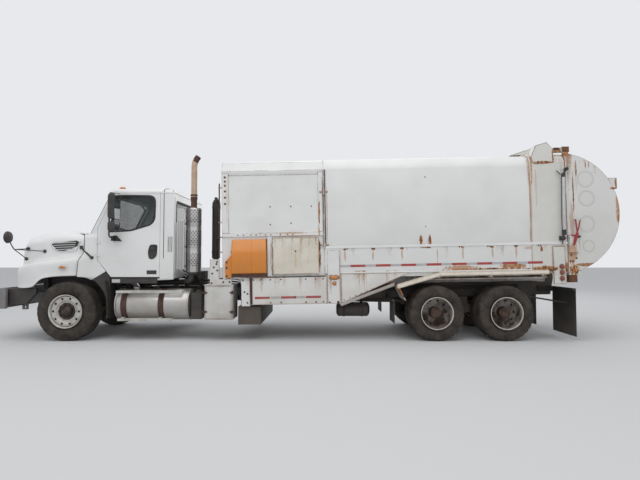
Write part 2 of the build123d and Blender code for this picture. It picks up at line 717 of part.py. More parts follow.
# Doors with their window openings cut, their glass and their mirrors
window_outline = [(3909, 2083), (3466, 2105), (3070, 2225), (3000, 2330), (2992, 2720)]
window_outline += [(3060, 2790), (3700, 2800)]
for side, hand in ((1, "left"), (-1, "right")):
    outer = side * cab_half_width
    low, high = sorted((outer, outer - side * cab_wall))
    with BuildPart() as door:
        door_edge_z = cowl_z + (screen_x(cowl_z, screen_depth) - safe_gap - door_front_x) / screen_lean
        outline = [
            (door_rear_x, door_low_z),
            (door_notch_x, door_low_z),
            (door_front_x, door_notch_z),
            (door_front_x, door_edge_z),
            (screen_x(door_top_z, screen_depth) - safe_gap, door_top_z),
            (door_rear_x, door_top_z),
        ]
        slab(side_plane(high), outline, cab_wall)
        slab(side_plane(high), window_outline, cab_wall, Mode.SUBTRACT)
        for z in door_hinge_heights:
            pin_y = side * door_hinge_y
            block((door_hinge_x - 55, door_hinge_x), sorted((outer, pin_y)), (z - 36, z + 2))
            bar((door_hinge_x, pin_y, z - 36), (door_hinge_x, pin_y, z + 2), door_pin_radius + 8)
            bore_radius = door_pin_radius + running_gap
            bar((door_hinge_x, pin_y, z - 40), (door_hinge_x, pin_y, z + 4), bore_radius, Mode.SUBTRACT)
    finish(door, f"door_{hand}")
    with BuildPart() as door_glass:
        glass_y = side * (cab_half_width - cab_wall / 2)
        slab(side_plane(glass_y + glass_depth / 2), window_outline, glass_depth)
    finish(door_glass, f"door_glass_{hand}")
    with BuildPart() as mirror_unit:
        post_x = (mirror_post_x, mirror_post_x + mirror_post)
        post_y = sorted((side * mirror_y, side * (mirror_y - mirror_post)))
        arm_y = sorted((outer, side * mirror_y))
        for z in (mirror_foot_z, mirror_head_z - mirror_post):
            block(post_x, arm_y, (z, z + mirror_post))
        block(post_x, post_y, (mirror_foot_z, mirror_head_z))
        foot_x = (mirror_post_x - 150, mirror_post_x + 50)
        block(foot_x, sorted((outer, side * (cab_half_width + 25))), (mirror_foot_z - 60, mirror_foot_z + 60))
        head_x = (mirror_post_x - 145, mirror_post_x + 5)
        block(head_x, sorted((side * (mirror_y - 110), side * (mirror_y + 110))), (2300, mirror_head_z - 30))
        block(head_x, sorted((side * (mirror_y - 100), side * (mirror_y + 100))), (2085, 2270))
    finish(mirror_unit, f"mirror_{hand}")


def hood_loft(sections, inset, drop, mode=Mode.ADD):
    """Lofts the hood's skin or its hollow through upright sections of straight edges."""
    outlines = []
    for x, top_z, top_y, side_z, side_y, fender_z, fender_y, low_z in sections:
        half = [
            (0, top_z - inset),
            (top_y - inset / 2, top_z - inset - 25),
            (side_y - inset, side_z - inset),
            (side_y - inset + 15, fender_z - inset + 25),
            (fender_y - inset, fender_z - inset - 70),
            (fender_y - inset, low_z - drop),
        ]
        points = half + [(-y, z) for y, z in reversed(half[1:])]
        with BuildSketch(Plane.YZ.offset(x)) as outline:
            with BuildLine():
                Polyline(*points, close=True)
            make_face()
        outlines.append(outline.sketch)
    loft(outlines, ruled=True, mode=mode)


# Hood: one moulded shell with its fenders, open below and behind, with its wheel arches,
# its grille and lamp openings, and the bored lugs that hang it on the stands
# columns: x, top z, top half width, shoulder z and half width, fender z and half width, low z
hood_sections = [
    (4240, 2035, 690, 1935, 985, 1620, 1040, 1150),
    (4770, 2150, 620, 1980, 900, 1560, 1150, 1150),
    (5280, 2092, 560, 1915, 830, 1500, 1185, 1010),
    (5520, 2058, 540, 1875, 795, 1440, 1130, 1010),
    (5640, 2035, 520, 1840, 765, 1400, 1020, 1010),
    (hood_front_x, 1955, 460, 1755, 690, 1340, 850, 1010),
]
hollow_sections = [(4180, *hood_sections[0][1:])] + hood_sections[1:5]
hollow_sections.append((hood_front_x - 60, 1990, 480, 1785, 715, 1360, 925, 1010))
arch = [(5282, 900), (5282, 1000), (5169, 1031), (5019, 1183), (4805, 1214), (4384, 1229)]
arch += [(4000, 1229), (4000, 900)]
rear_cut = [(4100, 2300), (cowl_front_x + safe_gap, 2300), (cowl_front_x + safe_gap, 1700)]
rear_cut += [(4393 + safe_gap, 1560), (4451 + safe_gap, 1200), (4451, 900), (4100, 900)]
grille_y = 375
grille_z = (1135, 1800)
lamp_y = (545, 790)
lamp_z = (1130, 1285)
with BuildPart() as hood_shell:
    hood_loft(hood_sections, 0, 0)
    hood_loft(hollow_sections, hood_wall, 200, Mode.SUBTRACT)
    slab(side_plane(1300), arch, 2600, Mode.SUBTRACT)
    slab(side_plane(1300), rear_cut, 2600, Mode.SUBTRACT)
    front_x = (hood_front_x - 62, hood_front_x + 10)
    for low, high in both_sides(stand_y[1] + 8, stand_y[1] + 42):
        block((hood_front_x - 60, hood_front_x), (low, high), (1000, hood_hinge_z + 60))
    for low, high in both_sides(stand_y[0] - 10, stand_y[1] + 8):
        block(front_x, (low, high), (990, hood_hinge_z + 45), Mode.SUBTRACT)
    for side in (1, -1):
        bore_ends = [(hood_hinge_x, side * (stand_y[1] + reach), hood_hinge_z) for reach in (0, 40)]
        bar(*bore_ends, hood_pin_radius + running_gap, Mode.SUBTRACT)
    block(front_x, (-grille_y, grille_y), grille_z, Mode.SUBTRACT)
    for low, high in both_sides(*lamp_y):
        block(front_x, (low, high), lamp_z, Mode.SUBTRACT)
finish(hood_shell, "hood_shell")

# Grille: a surround with level bars, set in the hood's front
with BuildPart() as grille:
    grille_x = (hood_front_x - 50, hood_front_x - 8)
    block(grille_x, (-grille_y, grille_y), grille_z)
    block(grille_x, (-grille_y + 30, grille_y - 30), (grille_z[0] + 30, grille_z[1] - 30), Mode.SUBTRACT)
    bar_count = 7
    bar_pitch = (grille_z[1] - grille_z[0]) / (bar_count + 1)
    for index in range(bar_count):
        bar_z = grille_z[0] + bar_pitch * (index + 1)
        block(grille_x, (-grille_y + 30, grille_y - 30), (bar_z - 18, bar_z + 18))
finish(grille, "grille")

# Headlamps: rectangular units in the hood's front corners
with BuildPart() as headlamps:
    for low, high in both_sides(*lamp_y):
        block((hood_front_x - 60, hood_front_x), (low, high), lamp_z)
finish(headlamps, "headlamps")


def wall_curve(inset):
    """The body's side from the ledge up to the roof's edge, as arcs, at an inset."""
    side_arc = ThreePointArc(
        (side_face_y - inset, ledge_w + 10),
        (side_face_y + side_bulge - inset, (ledge_w + shoulder_w) / 2),
        (side_face_y - 12 - inset, shoulder_w),
    )
    corner_arc = ThreePointArc(
        side_arc @ 1,
        (side_face_y - 108 - inset * 0.75, shoulder_w + shoulder_drop * 0.69 - inset * 0.7),
        (roof_edge_y, roof_w - inset),
    )
    return side_arc, corner_arc


# Body sides: pressed walls that bulge above a flat band, up to the roof's edge
body_length = hopper_rear_u - bolster_front_u
with BuildPart() as body_sides:
    with BuildSketch(deck_section(bolster_front_u)) as wall:
        with BuildLine():
            outer_side, outer_corner = wall_curve(0)
            inner_side, inner_corner = wall_curve(wall_depth)
            Polyline(
                inner_side @ 0,
                (side_face_y - wall_depth, body_floor_w),
                (side_face_y, body_floor_w),
                (side_face_y, band_low_w),
                (body_half_width, band_low_w),
                (body_half_width, ledge_w),
                outer_side @ 0,
            )
            Line(outer_corner @ 1, inner_corner @ 1)
        make_face()
    extrude(amount=body_length)
    mirror(about=Plane.XZ)
finish(body_sides, "body_sides")

# Body roof: a slightly crowned sheet between the two sides
with BuildPart() as body_roof:
    with BuildSketch(deck_section(bolster_front_u)) as roof_band:
        with BuildLine():
            top = ThreePointArc((-roof_edge_y, roof_w), (0, roof_w + roof_rise), (roof_edge_y, roof_w))
            under = ThreePointArc(
                (-roof_edge_y, roof_w - wall_depth),
                (0, roof_w + roof_rise - wall_depth),
                (roof_edge_y, roof_w - wall_depth),
            )
            Line(top @ 0, under @ 0)
            Line(top @ 1, under @ 1)
        make_face()
    extrude(roof_band.sketch, amount=body_length)
finish(body_roof, "body_roof")

# Body floor with its two sills, which lie over the chassis rails, and the sleeves that
# turn on the rear hinge pin
floor_y = side_face_y - wall_depth
sill_low_w = frame_top_w + safe_gap + 2
pocket_wall_y = -pocket_y + wall_depth
with BuildPart() as body_floor:
    floor_span = (body_floor_w, body_floor_w + body_floor_depth)
    deck_block((body_rear_u, pocket_rear_u - wall_depth), (-floor_y, floor_y), floor_span)
    recess_u = (pocket_rear_u - wall_depth, hopper_front_u - wall_depth)
    deck_block(recess_u, (pocket_wall_y, floor_y), floor_span)
    sill = [(60, sill_low_w), (hopper_front_u - 300, sill_low_w), (hopper_front_u - 100, body_floor_w)]
    sill += [(30, body_floor_w), (0, 50), (0, -50), (30, -50)]
    for low, high in both_sides(sill_y - sill_width / 2, sill_y + sill_width / 2):
        slab(deck_side(high), sill, sill_width)
        bar((pin_x, low, pin_z), (pin_x, high, pin_z), 50)
        bar((pin_x, low - 1, pin_z), (pin_x, high + 1, pin_z), hinge_pin_radius + running_gap, Mode.SUBTRACT)
    for u in (500, 1500, 2500, 3500, 4500, 5500, 6300):
        reach = floor_y if u < pocket_rear_u else -pocket_wall_y
        deck_block((u - 40, u + 40), (-reach, floor_y), (body_floor_w - 60, body_floor_w))
finish(body_floor, "body_floor")

# Rear frame: the stiff bolster round the body's rear end, with the roof ramp, the tailgate's
# hinge boxes and pins, and the side lamp plates
lamp_plate_u = (125, 353)
lamp_plate_w = (-127, 590)
with BuildPart() as rear_frame:
    with BuildSketch(deck_section(body_rear_u)) as ring:
        with BuildLine():
            outline = [(side_face_y, body_floor_w), (side_face_y, band_low_w), (body_half_width, band_low_w)]
            outline += [(body_half_width, roof_w - 190)]
            outline += [(body_half_width - 60, roof_w - 60), (body_half_width - 190, roof_w)]
            outline += [(-y, w) for y, w in reversed(outline)]
            inner = [(-floor_y, body_floor_w), (-floor_y, bolster_top_w - 220)]
            inner += [(-floor_y + 150, bolster_top_w - 75), (floor_y - 150, bolster_top_w - 75)]
            inner += [(floor_y, bolster_top_w - 220), (floor_y, body_floor_w)]
            Polyline(*outline, *inner, close=True)
        make_face()
    extrude(ring.sketch, amount=bolster_front_u - body_rear_u)
    ramp_low = roof_w + roof_rise
    ramp_top, ramp_foot = bolster_top_w + 230, bolster_top_w - 30
    ramp = [(930, ramp_low), (930, ramp_low + 8), (500, ramp_top), (330, ramp_top), (290, roof_w)]
    ramp += [(290, ramp_foot), (bolster_front_u, ramp_foot), (bolster_front_u, ramp_low)]
    slab(deck_side(roof_edge_y), ramp, 2 * roof_edge_y)
    hinge_box = [(706, -22), (605, 197), (395, 257), (280, 126), (271, -123), (585, -155), (662, -141)]
    for low, high in both_sides(body_half_width - 160, body_half_width + 12):
        slab(deck_side(high), [(u, bolster_top_w + w) for u, w in hinge_box], high - low)
    arm = [(300, -42), (300, 43), (57, 43), (20, 23), (20, -23), (57, -42)]
    for low, high in both_sides(body_half_width - 135, body_half_width - 75):
        slab(deck_side(high), [(u, tail_hinge_w + w) for u, w in arm], high - low)
    for side in (1, -1):
        x, z = deck_point(tail_hinge_u, tail_hinge_w)
        pin_y = [side * (body_half_width - inset) for inset in (135, 12)]
        bar((x, pin_y[0], z), (x, pin_y[1], z), tail_pin_radius)
    for low, high in both_sides(body_half_width, body_half_width + 25):
        deck_block(lamp_plate_u, (low, high), lamp_plate_w)
        for u, w in ((200, 208), (200, 94), (200, -20)):
            x, z = deck_point(u, w)
            outward = sorted((low, high), key=abs)
            ends = [(x, y, z) for y in (outward[1], outward[1] + (12 if low > 0 else -12))]
            bar(*ends, 43)
finish(rear_frame, "rear_frame")

# Hopper walls: a welded tub behind the cab, cut back on the right for the stowed arm, with
# a strip of roof on the left
step_u = (pocket_rear_u - wall_depth, pocket_rear_u)
with BuildPart() as hopper_walls:
    left = (floor_y, side_face_y)
    right = (-side_face_y, -floor_y)
    deck_block((hopper_rear_u, hopper_front_u), left, (body_floor_w, shoulder_w))
    deck_block((hopper_rear_u, pocket_rear_u), right, (body_floor_w, shoulder_w))
    deck_block(step_u, (-side_face_y, pocket_wall_y), (body_floor_w, pocket_wall_top_w))
    deck_block((step_u[0], hopper_front_u), (-pocket_y, pocket_wall_y), (body_floor_w, pocket_wall_top_w))
    corner = (side_face_y - 60, shoulder_w + 160)
    strip_y = 300
    front = [(-pocket_y, body_floor_w), (side_face_y, body_floor_w), (side_face_y, shoulder_w), corner]
    front += [(roof_edge_y, roof_w), (strip_y, roof_w), (-pocket_y, pocket_wall_top_w)]
    slab(deck_section(hopper_front_u - wall_depth), front, wall_depth)
    rail = [(side_face_y, shoulder_w), corner, (roof_edge_y, roof_w), (strip_y, roof_w)]
    rail += [(strip_y, roof_w - wall_depth), (roof_edge_y - 20, roof_w - wall_depth)]
    rail += [(side_face_y - 95, shoulder_w + 125), (floor_y, shoulder_w)]
    slab(deck_section(hopper_rear_u), rail, hopper_front_u - hopper_rear_u - wall_depth)
    slab(deck_section(hopper_rear_u), [(-y, w) for y, w in rail], 620)
    deck_block((hopper_rear_u, hopper_rear_u + 620), (-strip_y, strip_y), (roof_w - wall_depth, roof_w))
    service_pin = [deck_point(service_hinge_u, w) for w in (service_door_w[0], service_door_w[1])]
    bar(*[(x, service_hinge_y, z) for x, z in service_pin], service_pin_radius)
    for w in (service_door_w[0] + 5, sum(service_door_w) / 2, service_door_w[1] - 35):
        lug_u = (service_hinge_u - service_pin_radius, service_hinge_u + service_pin_radius)
        deck_block(lug_u, (side_face_y, service_hinge_y), (w, w + 30))
finish(hopper_walls, "hopper_walls")

# Skirts below the body: the lower side plates with their corner posts and gussets, and the
# bent fenders over the rear wheels with their outer edge strips
hook = [(3157, -378), (3170, -385)]
fender = [(446, 12), (446, -2), (2700, -2), (3280, -112), *hook, (3300, -100), (2705, 12)]
edge_strip = [(446, band_low_w), (446, 135), (2490, 137), (3295, -106), *hook]
edge_strip += [(3315, -95), (2498, band_low_w)]
skirt_top_w = 108
with BuildPart() as body_skirts:
    for side, skirt_front_u in ((1, 6100), (-1, 5600)):
        low, high = sorted((side * side_face_y, side * body_half_width))
        deck_block((4645, skirt_front_u), (low, high), (low_skirt_w, skirt_top_w))
        slab(deck_side(high), [(4380, low_skirt_w), (4380, band_low_w), (3068, band_low_w)], high - low)
        slab(deck_side(high), edge_strip, high - low)
        low, high = sorted((side * side_face_y, side * (body_half_width + 20)))
        deck_block((4380, 4645), (low, high), (low_skirt_w, band_low_w))
        low, high = sorted((side * 640, side * side_face_y))
        slab(deck_side(high), fender, high - low)
finish(body_skirts, "body_skirts")

# Orange side cover: a formed cover that stands proud of the hopper's left wall
cover_depth = 110
with BuildPart() as side_cover:
    with BuildSketch(deck_side(side_face_y + cover_depth)) as cover_outline:
        with BuildLine():
            Polyline((5785, 113), (6564, 113), (6564, 700), (6450, 835), (5900, 835), (5785, 700), close=True)
        make_face()
    extrude(cover_outline.sketch, amount=cover_depth)
    chamfer(side_cover.faces().sort_by(Axis.Y)[-1].edges(), 45)
finish(side_cover, "side_cover")

# Tailgate cylinders: one each side of the body's rear, upright on its lower bracket
with BuildPart() as tailgate_cylinders:
    for side in (1, -1):
        y = side * (body_half_width + 70)
        foot = deck_point(180, 700)
        head = deck_point(75, 1960)
        bar((foot[0], y, foot[1]), (head[0], y, head[1]), 42)
        rod_end = deck_point(68, 2050)
        bar((head[0], y, head[1]), (rod_end[0], y, rod_end[1]), 24)
        low, high = sorted((y - 25, y + 25))
        bar((rod_end[0], low, rod_end[1]), (rod_end[0], high, rod_end[1]), 40)
        low, high = sorted((side * body_half_width, y + side * 25))
        deck_block((140, 230), (low, high), (640, 720))
finish(tailgate_cylinders, "tailgate_cylinders")

# Packer blade: the panel that slides back along the hopper's floor
with BuildPart() as packer_blade:
    packer_y = (pocket_wall_y + safe_gap, floor_y - safe_gap)
    packer_low_w = body_floor_w + body_floor_depth + running_gap
    face_u = hopper_front_u - 420
    outline = [(face_u, packer_low_w), (hopper_front_u - 60, packer_low_w), (hopper_front_u - 60, 760)]
    outline += [(hopper_front_u - 160, 800), (face_u, 700)]
    slab(deck_side(packer_y[1]), outline, packer_y[1] - packer_y[0])
finish(packer_blade, "packer_blade")

# Tailgate: a rounded shell, hollow towards the body, hung from its two top hinges
seam_u = body_rear_u - safe_gap
with BuildPart() as tailgate_shell:
    for radius, half, mode in (
        (tail_radius, body_half_width, Mode.ADD),
        (tail_radius - tail_wall, body_half_width - tail_wall, Mode.SUBTRACT),
    ):
        with BuildSketch(deck_side(half)) as disc:
            with Locations((tail_centre_u, tail_centre_w)):
                Circle(radius)
            with Locations((seam_u + tail_radius, tail_centre_w)):
                Rectangle(2 * tail_radius, 3 * tail_radius, mode=Mode.SUBTRACT)
        extrude(disc.sketch, amount=2 * half, mode=mode)
    ear = [(-60, -127), (-45, -107), (20, 28), (40, 43), (80, 43), (95, 23), (95, -22)]
    ear += [(50, -107), (50, -127)]
    for low, high in both_sides(body_half_width - 68, body_half_width - 12):
        slab(deck_side(high), [(u, tail_hinge_w + w) for u, w in ear], high - low)
        x, z = deck_point(tail_hinge_u, tail_hinge_w)
        bar((x, low - 1, z), (x, high + 1, z), tail_pin_radius + running_gap, Mode.SUBTRACT)
    for low, high in both_sides(body_half_width - 10, body_half_width + 45):
        deck_block((-140, seam_u - 6), (low, high), (470, 800))
    for low, high in both_sides(body_half_width - 90, body_half_width - 10):
        deck_block((-185, seam_u - 6), (low, high), (40, 230))
    bracket_y = (body_half_width - 190, body_half_width - 30)
    bracket_u = (tail_centre_u - tail_radius + 10, tail_centre_u - tail_radius + 170)
    deck_block(bracket_u, bracket_y, (tail_centre_w + 450, tail_centre_w + 660))
finish(tailgate_shell, "tailgate_shell")

# Service door: a panel over the hopper's left wall, on two knuckles round its hinge pin
with BuildPart() as service_door:
    door_y = (side_face_y + safe_gap, side_face_y + safe_gap + 30)
    deck_block((hopper_rear_u + 110, service_hinge_u - 20), door_y, service_door_w)
    for w in (service_door_w[0] + 100, service_door_w[1] - 160):
        knuckle_ends = [deck_point(service_hinge_u, end_w) for end_w in (w, w + 60)]
        ends = [(x, service_hinge_y, z) for x, z in knuckle_ends]
        leaf_y = (service_hinge_y - 6, service_hinge_y + 6)
        deck_block((service_hinge_u - 40, service_hinge_u), leaf_y, (w, w + 60))
        bar(*ends, service_pin_radius + 7)
        bar(*ends, service_pin_radius + running_gap, Mode.SUBTRACT)
finish(service_door, "service_door")

# Arm housing: a square tube across the truck, hung under the rails and open to the right
housing_half = arm_beam_width / 2 + housing_wall + safe_gap
housing_x = (arm_x - housing_half, arm_x + housing_half)
housing_z = (arm_beam_low_z - housing_wall - safe_gap, arm_beam_high_z + housing_wall + safe_gap)
with BuildPart() as arm_housing:
    block(housing_x, (housing_outer_y, 1150), housing_z)
    hollow_x = (housing_x[0] + housing_wall, housing_x[1] - housing_wall)
    hollow_z = (housing_z[0] + housing_wall, housing_z[1] - housing_wall)
    mouth_inner_y = housing_outer_y + housing_mouth
    block(hollow_x, (mouth_inner_y, 1120), hollow_z, Mode.SUBTRACT)
    mouth_x = (hollow_x[0] + safe_gap - running_gap, hollow_x[1] - safe_gap + running_gap)
    mouth_z = (hollow_z[0] + safe_gap - running_gap, hollow_z[1] - safe_gap + running_gap)
    block(mouth_x, (housing_outer_y - 1, mouth_inner_y), mouth_z, Mode.SUBTRACT)
    hanger_u = (arm_x - hinge_x) / cos(rake)
    for low, high in both_sides(frame_inner, frame_half_width):
        deck_block((hanger_u - 150, hanger_u + 150), (low, high), (housing_z[1] - 1098, frame_low_w))
finish(arm_housing, "arm_housing")

# Arm carriage: the beam that slides in the housing, with the boom's pivot lugs on its head
lug_gap = boom_width / 2 + running_gap
with BuildPart() as arm_carriage:
    beam_x = (arm_x - arm_beam_width / 2, arm_x + arm_beam_width / 2)
    beam_inner_y = housing_outer_y + beam_overlap + arm_reach
    block(beam_x, (-1060, beam_inner_y), (arm_beam_low_z, arm_beam_high_z))
    block(beam_x, (-1200, -1060), (arm_beam_low_z, 640))
    for side in (1, -1):
        low, high = sorted((arm_x + side * lug_gap, arm_x + side * (lug_gap + 45)))
        block((low, high), (-1180, -1060), (640, boom_pivot_z))
        bar((low, boom_pivot_y, boom_pivot_z), (high, boom_pivot_y, boom_pivot_z), 60)
    pin_reach = lug_gap + 45
    pin_ends = [(arm_x + way * pin_reach, boom_pivot_y, boom_pivot_z) for way in (-1, 1)]
    bar(*pin_ends, arm_pin_radius)
finish(arm_carriage, "arm_carriage")

# Arm boom: a box-section beam from the carriage's pins up to the gripper's pivot
with BuildPart() as arm_boom:
    boom_x = (arm_x - boom_width / 2, arm_x + boom_width / 2)
    block(boom_x, (boom_pivot_y - 55, boom_pivot_y + 55), (boom_pivot_z, boom_top_z))
    for z in (boom_pivot_z, boom_top_z):
        bar((boom_x[0], boom_pivot_y, z), (boom_x[1], boom_pivot_y, z), 60)
    bore = arm_pin_radius + running_gap
    bore_ends = [(x, boom_pivot_y, boom_pivot_z) for x in (boom_x[0] - 1, boom_x[1] + 1)]
    bar(*bore_ends, bore, Mode.SUBTRACT)
    top_reach = lug_gap + cheek_width
    top_ends = [(arm_x + way * top_reach, boom_pivot_y, boom_top_z) for way in (-1, 1)]
    bar(*top_ends, arm_pin_radius)
finish(arm_boom, "arm_boom")

# Gripper head: two cheeks on the boom's top pin, a backing plate and the claws' pins
plate_y = (-1240, -1200)
claw_pivots = [arm_x + gripper_half_width - 40, arm_x - gripper_half_width + 40]
claw_z = [(1640, 1720), (1840, 1920)]
with BuildPart() as gripper_head:
    block((arm_x - gripper_half_width, arm_x + gripper_half_width), plate_y, (gripper_low_z, 2060))
    for side in (1, -1):
        low, high = sorted((arm_x + side * lug_gap, arm_x + side * (lug_gap + cheek_width)))
        cheek = [(-1200, 1900), (-1200, 2000), (-1080, 2260), (-1075, boom_top_z), (-1165, boom_top_z)]
        cheek += [(-1240, 2100), (-1240, 1900)]
        slab(Plane.YZ.offset(low), cheek, cheek_width)
        bar((low, boom_pivot_y, boom_top_z), (high, boom_pivot_y, boom_top_z), 58)
        bar((low - 1, boom_pivot_y, boom_top_z), (high + 1, boom_pivot_y, boom_top_z), bore, Mode.SUBTRACT)
    for x, (low, high) in zip(claw_pivots, claw_z):
        for z in (low - 45, high + 5):
            block((x - 40, x + 40), (claw_y - 30, plate_y[0]), (z, z + 40))
        bar((x, claw_y, low - 45), (x, claw_y, high + 45), claw_pin_radius)
finish(gripper_head, "gripper_head")

# Claws: two fingers that fold flat across the head and swing out round a bin
# columns: name, pivot x, direction of the folded finger, height span
claws = [("claw_front", claw_pivots[0], -1, claw_z[0]), ("claw_rear", claw_pivots[1], 1, claw_z[1])]
for name, x, way, (low, high) in claws:
    with BuildPart() as claw:
        finger = [(0, 22), (-way * 30, 0), (0, -25), (way * 200, -58)]
        finger += [(way * claw_length, -20), (way * claw_length, 5)]
        finger += [(way * 200, -28), (way * 60, 22)]
        points = [(x + along, claw_y + out) for along, out in finger]
        slab(Plane.XY.offset(low), points, high - low)
        bar((x, claw_y, low), (x, claw_y, high), 30)
        bar((x, claw_y, low - 1), (x, claw_y, high + 1), claw_pin_radius + running_gap, Mode.SUBTRACT)
    finish(claw, name)
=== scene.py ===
from math import atan2, cos, hypot, pi, radians, sin

import bmesh
import bpy
from mathutils import Matrix, Vector


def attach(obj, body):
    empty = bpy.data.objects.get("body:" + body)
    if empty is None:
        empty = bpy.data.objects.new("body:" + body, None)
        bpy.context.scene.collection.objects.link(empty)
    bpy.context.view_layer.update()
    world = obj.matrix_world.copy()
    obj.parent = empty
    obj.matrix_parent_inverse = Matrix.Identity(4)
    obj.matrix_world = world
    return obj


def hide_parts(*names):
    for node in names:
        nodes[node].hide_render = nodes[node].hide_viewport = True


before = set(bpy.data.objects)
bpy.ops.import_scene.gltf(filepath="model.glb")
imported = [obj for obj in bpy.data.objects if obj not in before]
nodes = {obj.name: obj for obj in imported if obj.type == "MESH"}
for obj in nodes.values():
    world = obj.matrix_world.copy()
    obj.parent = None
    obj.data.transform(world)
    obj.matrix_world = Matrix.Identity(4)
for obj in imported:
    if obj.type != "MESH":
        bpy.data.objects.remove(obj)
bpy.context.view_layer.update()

# Chassis frame: two pressed steel channels with bolted crossmembers. Black frame paint under a
# coat of road dirt, with rust where stones have chipped it; grade-8 bolts hold the crossmembers.
deck_rake = radians(1.1)
deck_origin = Vector((-4.99244, 0, 1.215))
deck_place = Matrix.Translation(deck_origin) @ Matrix.Rotation(deck_rake, 4, "Y")
sides = (1, -1)
hands = ((1, "left"), (-1, "right"))


def clamp(value, low=0.0, high=1.0):
    """The value kept between low and high."""
    return max(low, min(high, value))


class Shape:
    """Gathers the faces of one piece, in metres. Places are given for the truck's left side, and
    a side of -1 mirrors them to the right."""

    def __init__(self, side=1):
        self.bm = bmesh.new()
        self.side = side

    def at(self, point):
        """A place on the shape's own side of the truck."""
        x, y, z = point
        return Vector((x, self.side * y, z))

    def box(self, x, y, z):
        """A block between three pairs of limits."""
        spans = (x, sorted(self.side * v for v in y), z)
        for v in bmesh.ops.create_cube(self.bm, size=1)["verts"]:
            v.co = [low + (c + 0.5) * (high - low) for c, (low, high) in zip(v.co, spans)]
        return self

    def prism(self, points, axis, low, high):
        """A flat outline drawn in the two other axes, in order, and drawn out along axis."""
        turned = {
            "x": lambda k, a, b: (k, a, b),
            "y": lambda k, a, b: (a, k, b),
            "z": lambda k, a, b: (a, b, k),
        }
        return self.sweep([[turned[axis](k, a, b) for a, b in points] for k in (low, high)])

    def net(self, rows, closed=False):
        """Skins rows of points without joining the rows' ends; closed does join them."""
        made = [[self.bm.verts.new(p) for p in row] for row in rows]
        for one, two in zip(made, made[1:]):
            for i in range(len(one) if closed else len(one) - 1):
                j = (i + 1) % len(one)
                self.bm.faces.new((one[i], one[j], two[j], two[i]))
        return made

    def skin(self, rings, closed=False):
        """Skins rings of points, each ring the same length, and caps the ends unless closed."""
        made = self.net(rings, True)
        if closed:
            for i in range(len(made[0])):
                j = (i + 1) % len(made[0])
                self.bm.faces.new((made[-1][i], made[-1][j], made[0][j], made[0][i]))
        else:
            self.bm.faces.new(made[0][::-1])
            self.bm.faces.new(made[-1])
        return self

    def sweep(self, rings, closed=False):
        """Skins rings of places given for the left side."""
        return self.skin([[self.at(p) for p in ring] for ring in rings], closed)

    def lathe(self, profile, centre, axis="y", steps=32, closed=False, way=1):
        """Turns a profile of (distance along the axis, radius) about an axis through centre."""
        rings = []
        for along, radius in profile:
            ring = []
            for i in range(steps):
                c, s = radius * cos(2 * pi * i / steps), radius * sin(2 * pi * i / steps)
                off = {"x": (way * along, c, s), "y": (s, way * along, c), "z": (c, s, way * along)}[axis]
                ring.append(self.at(centre) + Vector(off))
            rings.append(ring)
        return self.skin(rings, closed)

    def tube(self, path, radius, sides=10, smooth=0, closed=False):
        """A round bar along a path; smooth adds that many points a run on a curve through them."""
        points = [self.at(p) for p in path]
        count = len(points)
        if smooth:
            fine = []
            for i in range(count if closed else count - 1):
                p1, p2 = points[i], points[(i + 1) % count]
                p0 = points[i - 1] if closed or i else p1
                p3 = points[(i + 2) % count] if closed else points[min(i + 2, count - 1)]
                bend, twist = 2 * p0 - 5 * p1 + 4 * p2 - p3, 3 * p1 - p0 - 3 * p2 + p3
                for t in (k / smooth for k in range(smooth)):
                    fine.append(0.5 * (2 * p1 + (p2 - p0) * t + bend * t * t + twist * t**3))
            points = fine if closed else fine + [points[-1]]
            count = len(points)
        rings, up = [], None
        for i, point in enumerate(points):
            before = points[i - 1] if closed or i else point
            after = points[(i + 1) % count] if closed else points[min(i + 1, count - 1)]
            way = (after - before).normalized()
            if up is None:
                up = way.orthogonal().normalized()
            up = (up - way * up.dot(way)).normalized()
            across = way.cross(up)
            r = radius[i] if isinstance(radius, list) else radius
            angles = [2 * pi * k / sides for k in range(sides)]
            rings.append([point + (up * cos(a) + across * sin(a)) * r for a in angles])
        return self.skin(rings, closed)

    def bolt(self, at, size=0.011, height=0.009, way=(0, 1, 0)):
        """A hexagonal head on its washer, standing out along way."""
        at, way = Vector(at), Vector(way).normalized()
        self.tube([at, at + way * height * 0.3], size * 1.35, 12)
        return self.tube([at + way * height * 0.3, at + way * height], size, 6)

    def make(self, name, material, body, slot, place=None, bevel=0.0, replaces=(), smooth=40):
        """Turns the shape into a piece that rides on its body."""
        bmesh.ops.recalc_face_normals(self.bm, faces=self.bm.faces)
        if place is not None:
            self.bm.transform(place)
        mesh = bpy.data.meshes.new(name)
        self.bm.to_mesh(mesh)
        self.bm.free()
        piece = bpy.data.objects.new(name, mesh)
        bpy.context.scene.collection.objects.link(piece)
        mesh.materials.append(material)
        soften(piece, bevel, smooth)
        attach(piece, body)
        if replaces:
            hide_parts(*replaces)
        return piece


def both(*shapes):
    """Turns the shapes to the left side and then to the right one, for a loop's two rounds."""
    for side in sides:
        for shape in shapes:
            shape.side = side
        yield side
    for shape in shapes:
        shape.side = 1


def soften(piece, bevel=0.0, smooth=40, dissolve=False):
    """Rounds a piece's edges and shades what is left smooth."""
    if dissolve:
        flat = piece.modifiers.new("flat", "DECIMATE")
        flat.decimate_type = "DISSOLVE"
        flat.angle_limit = radians(0.5)
    if bevel:
        edge = piece.modifiers.new("edge", "BEVEL")
        edge.width = bevel
        edge.segments = 2
        edge.limit_method = "ANGLE"
        edge.angle_limit = radians(32)
        edge.use_clamp_overlap = True
        edge.harden_normals = True
    piece.data.shade_smooth()
    for e in piece.data.edges:
        e.use_edge_sharp = False
    piece.data.set_sharp_from_angle(angle=radians(smooth))


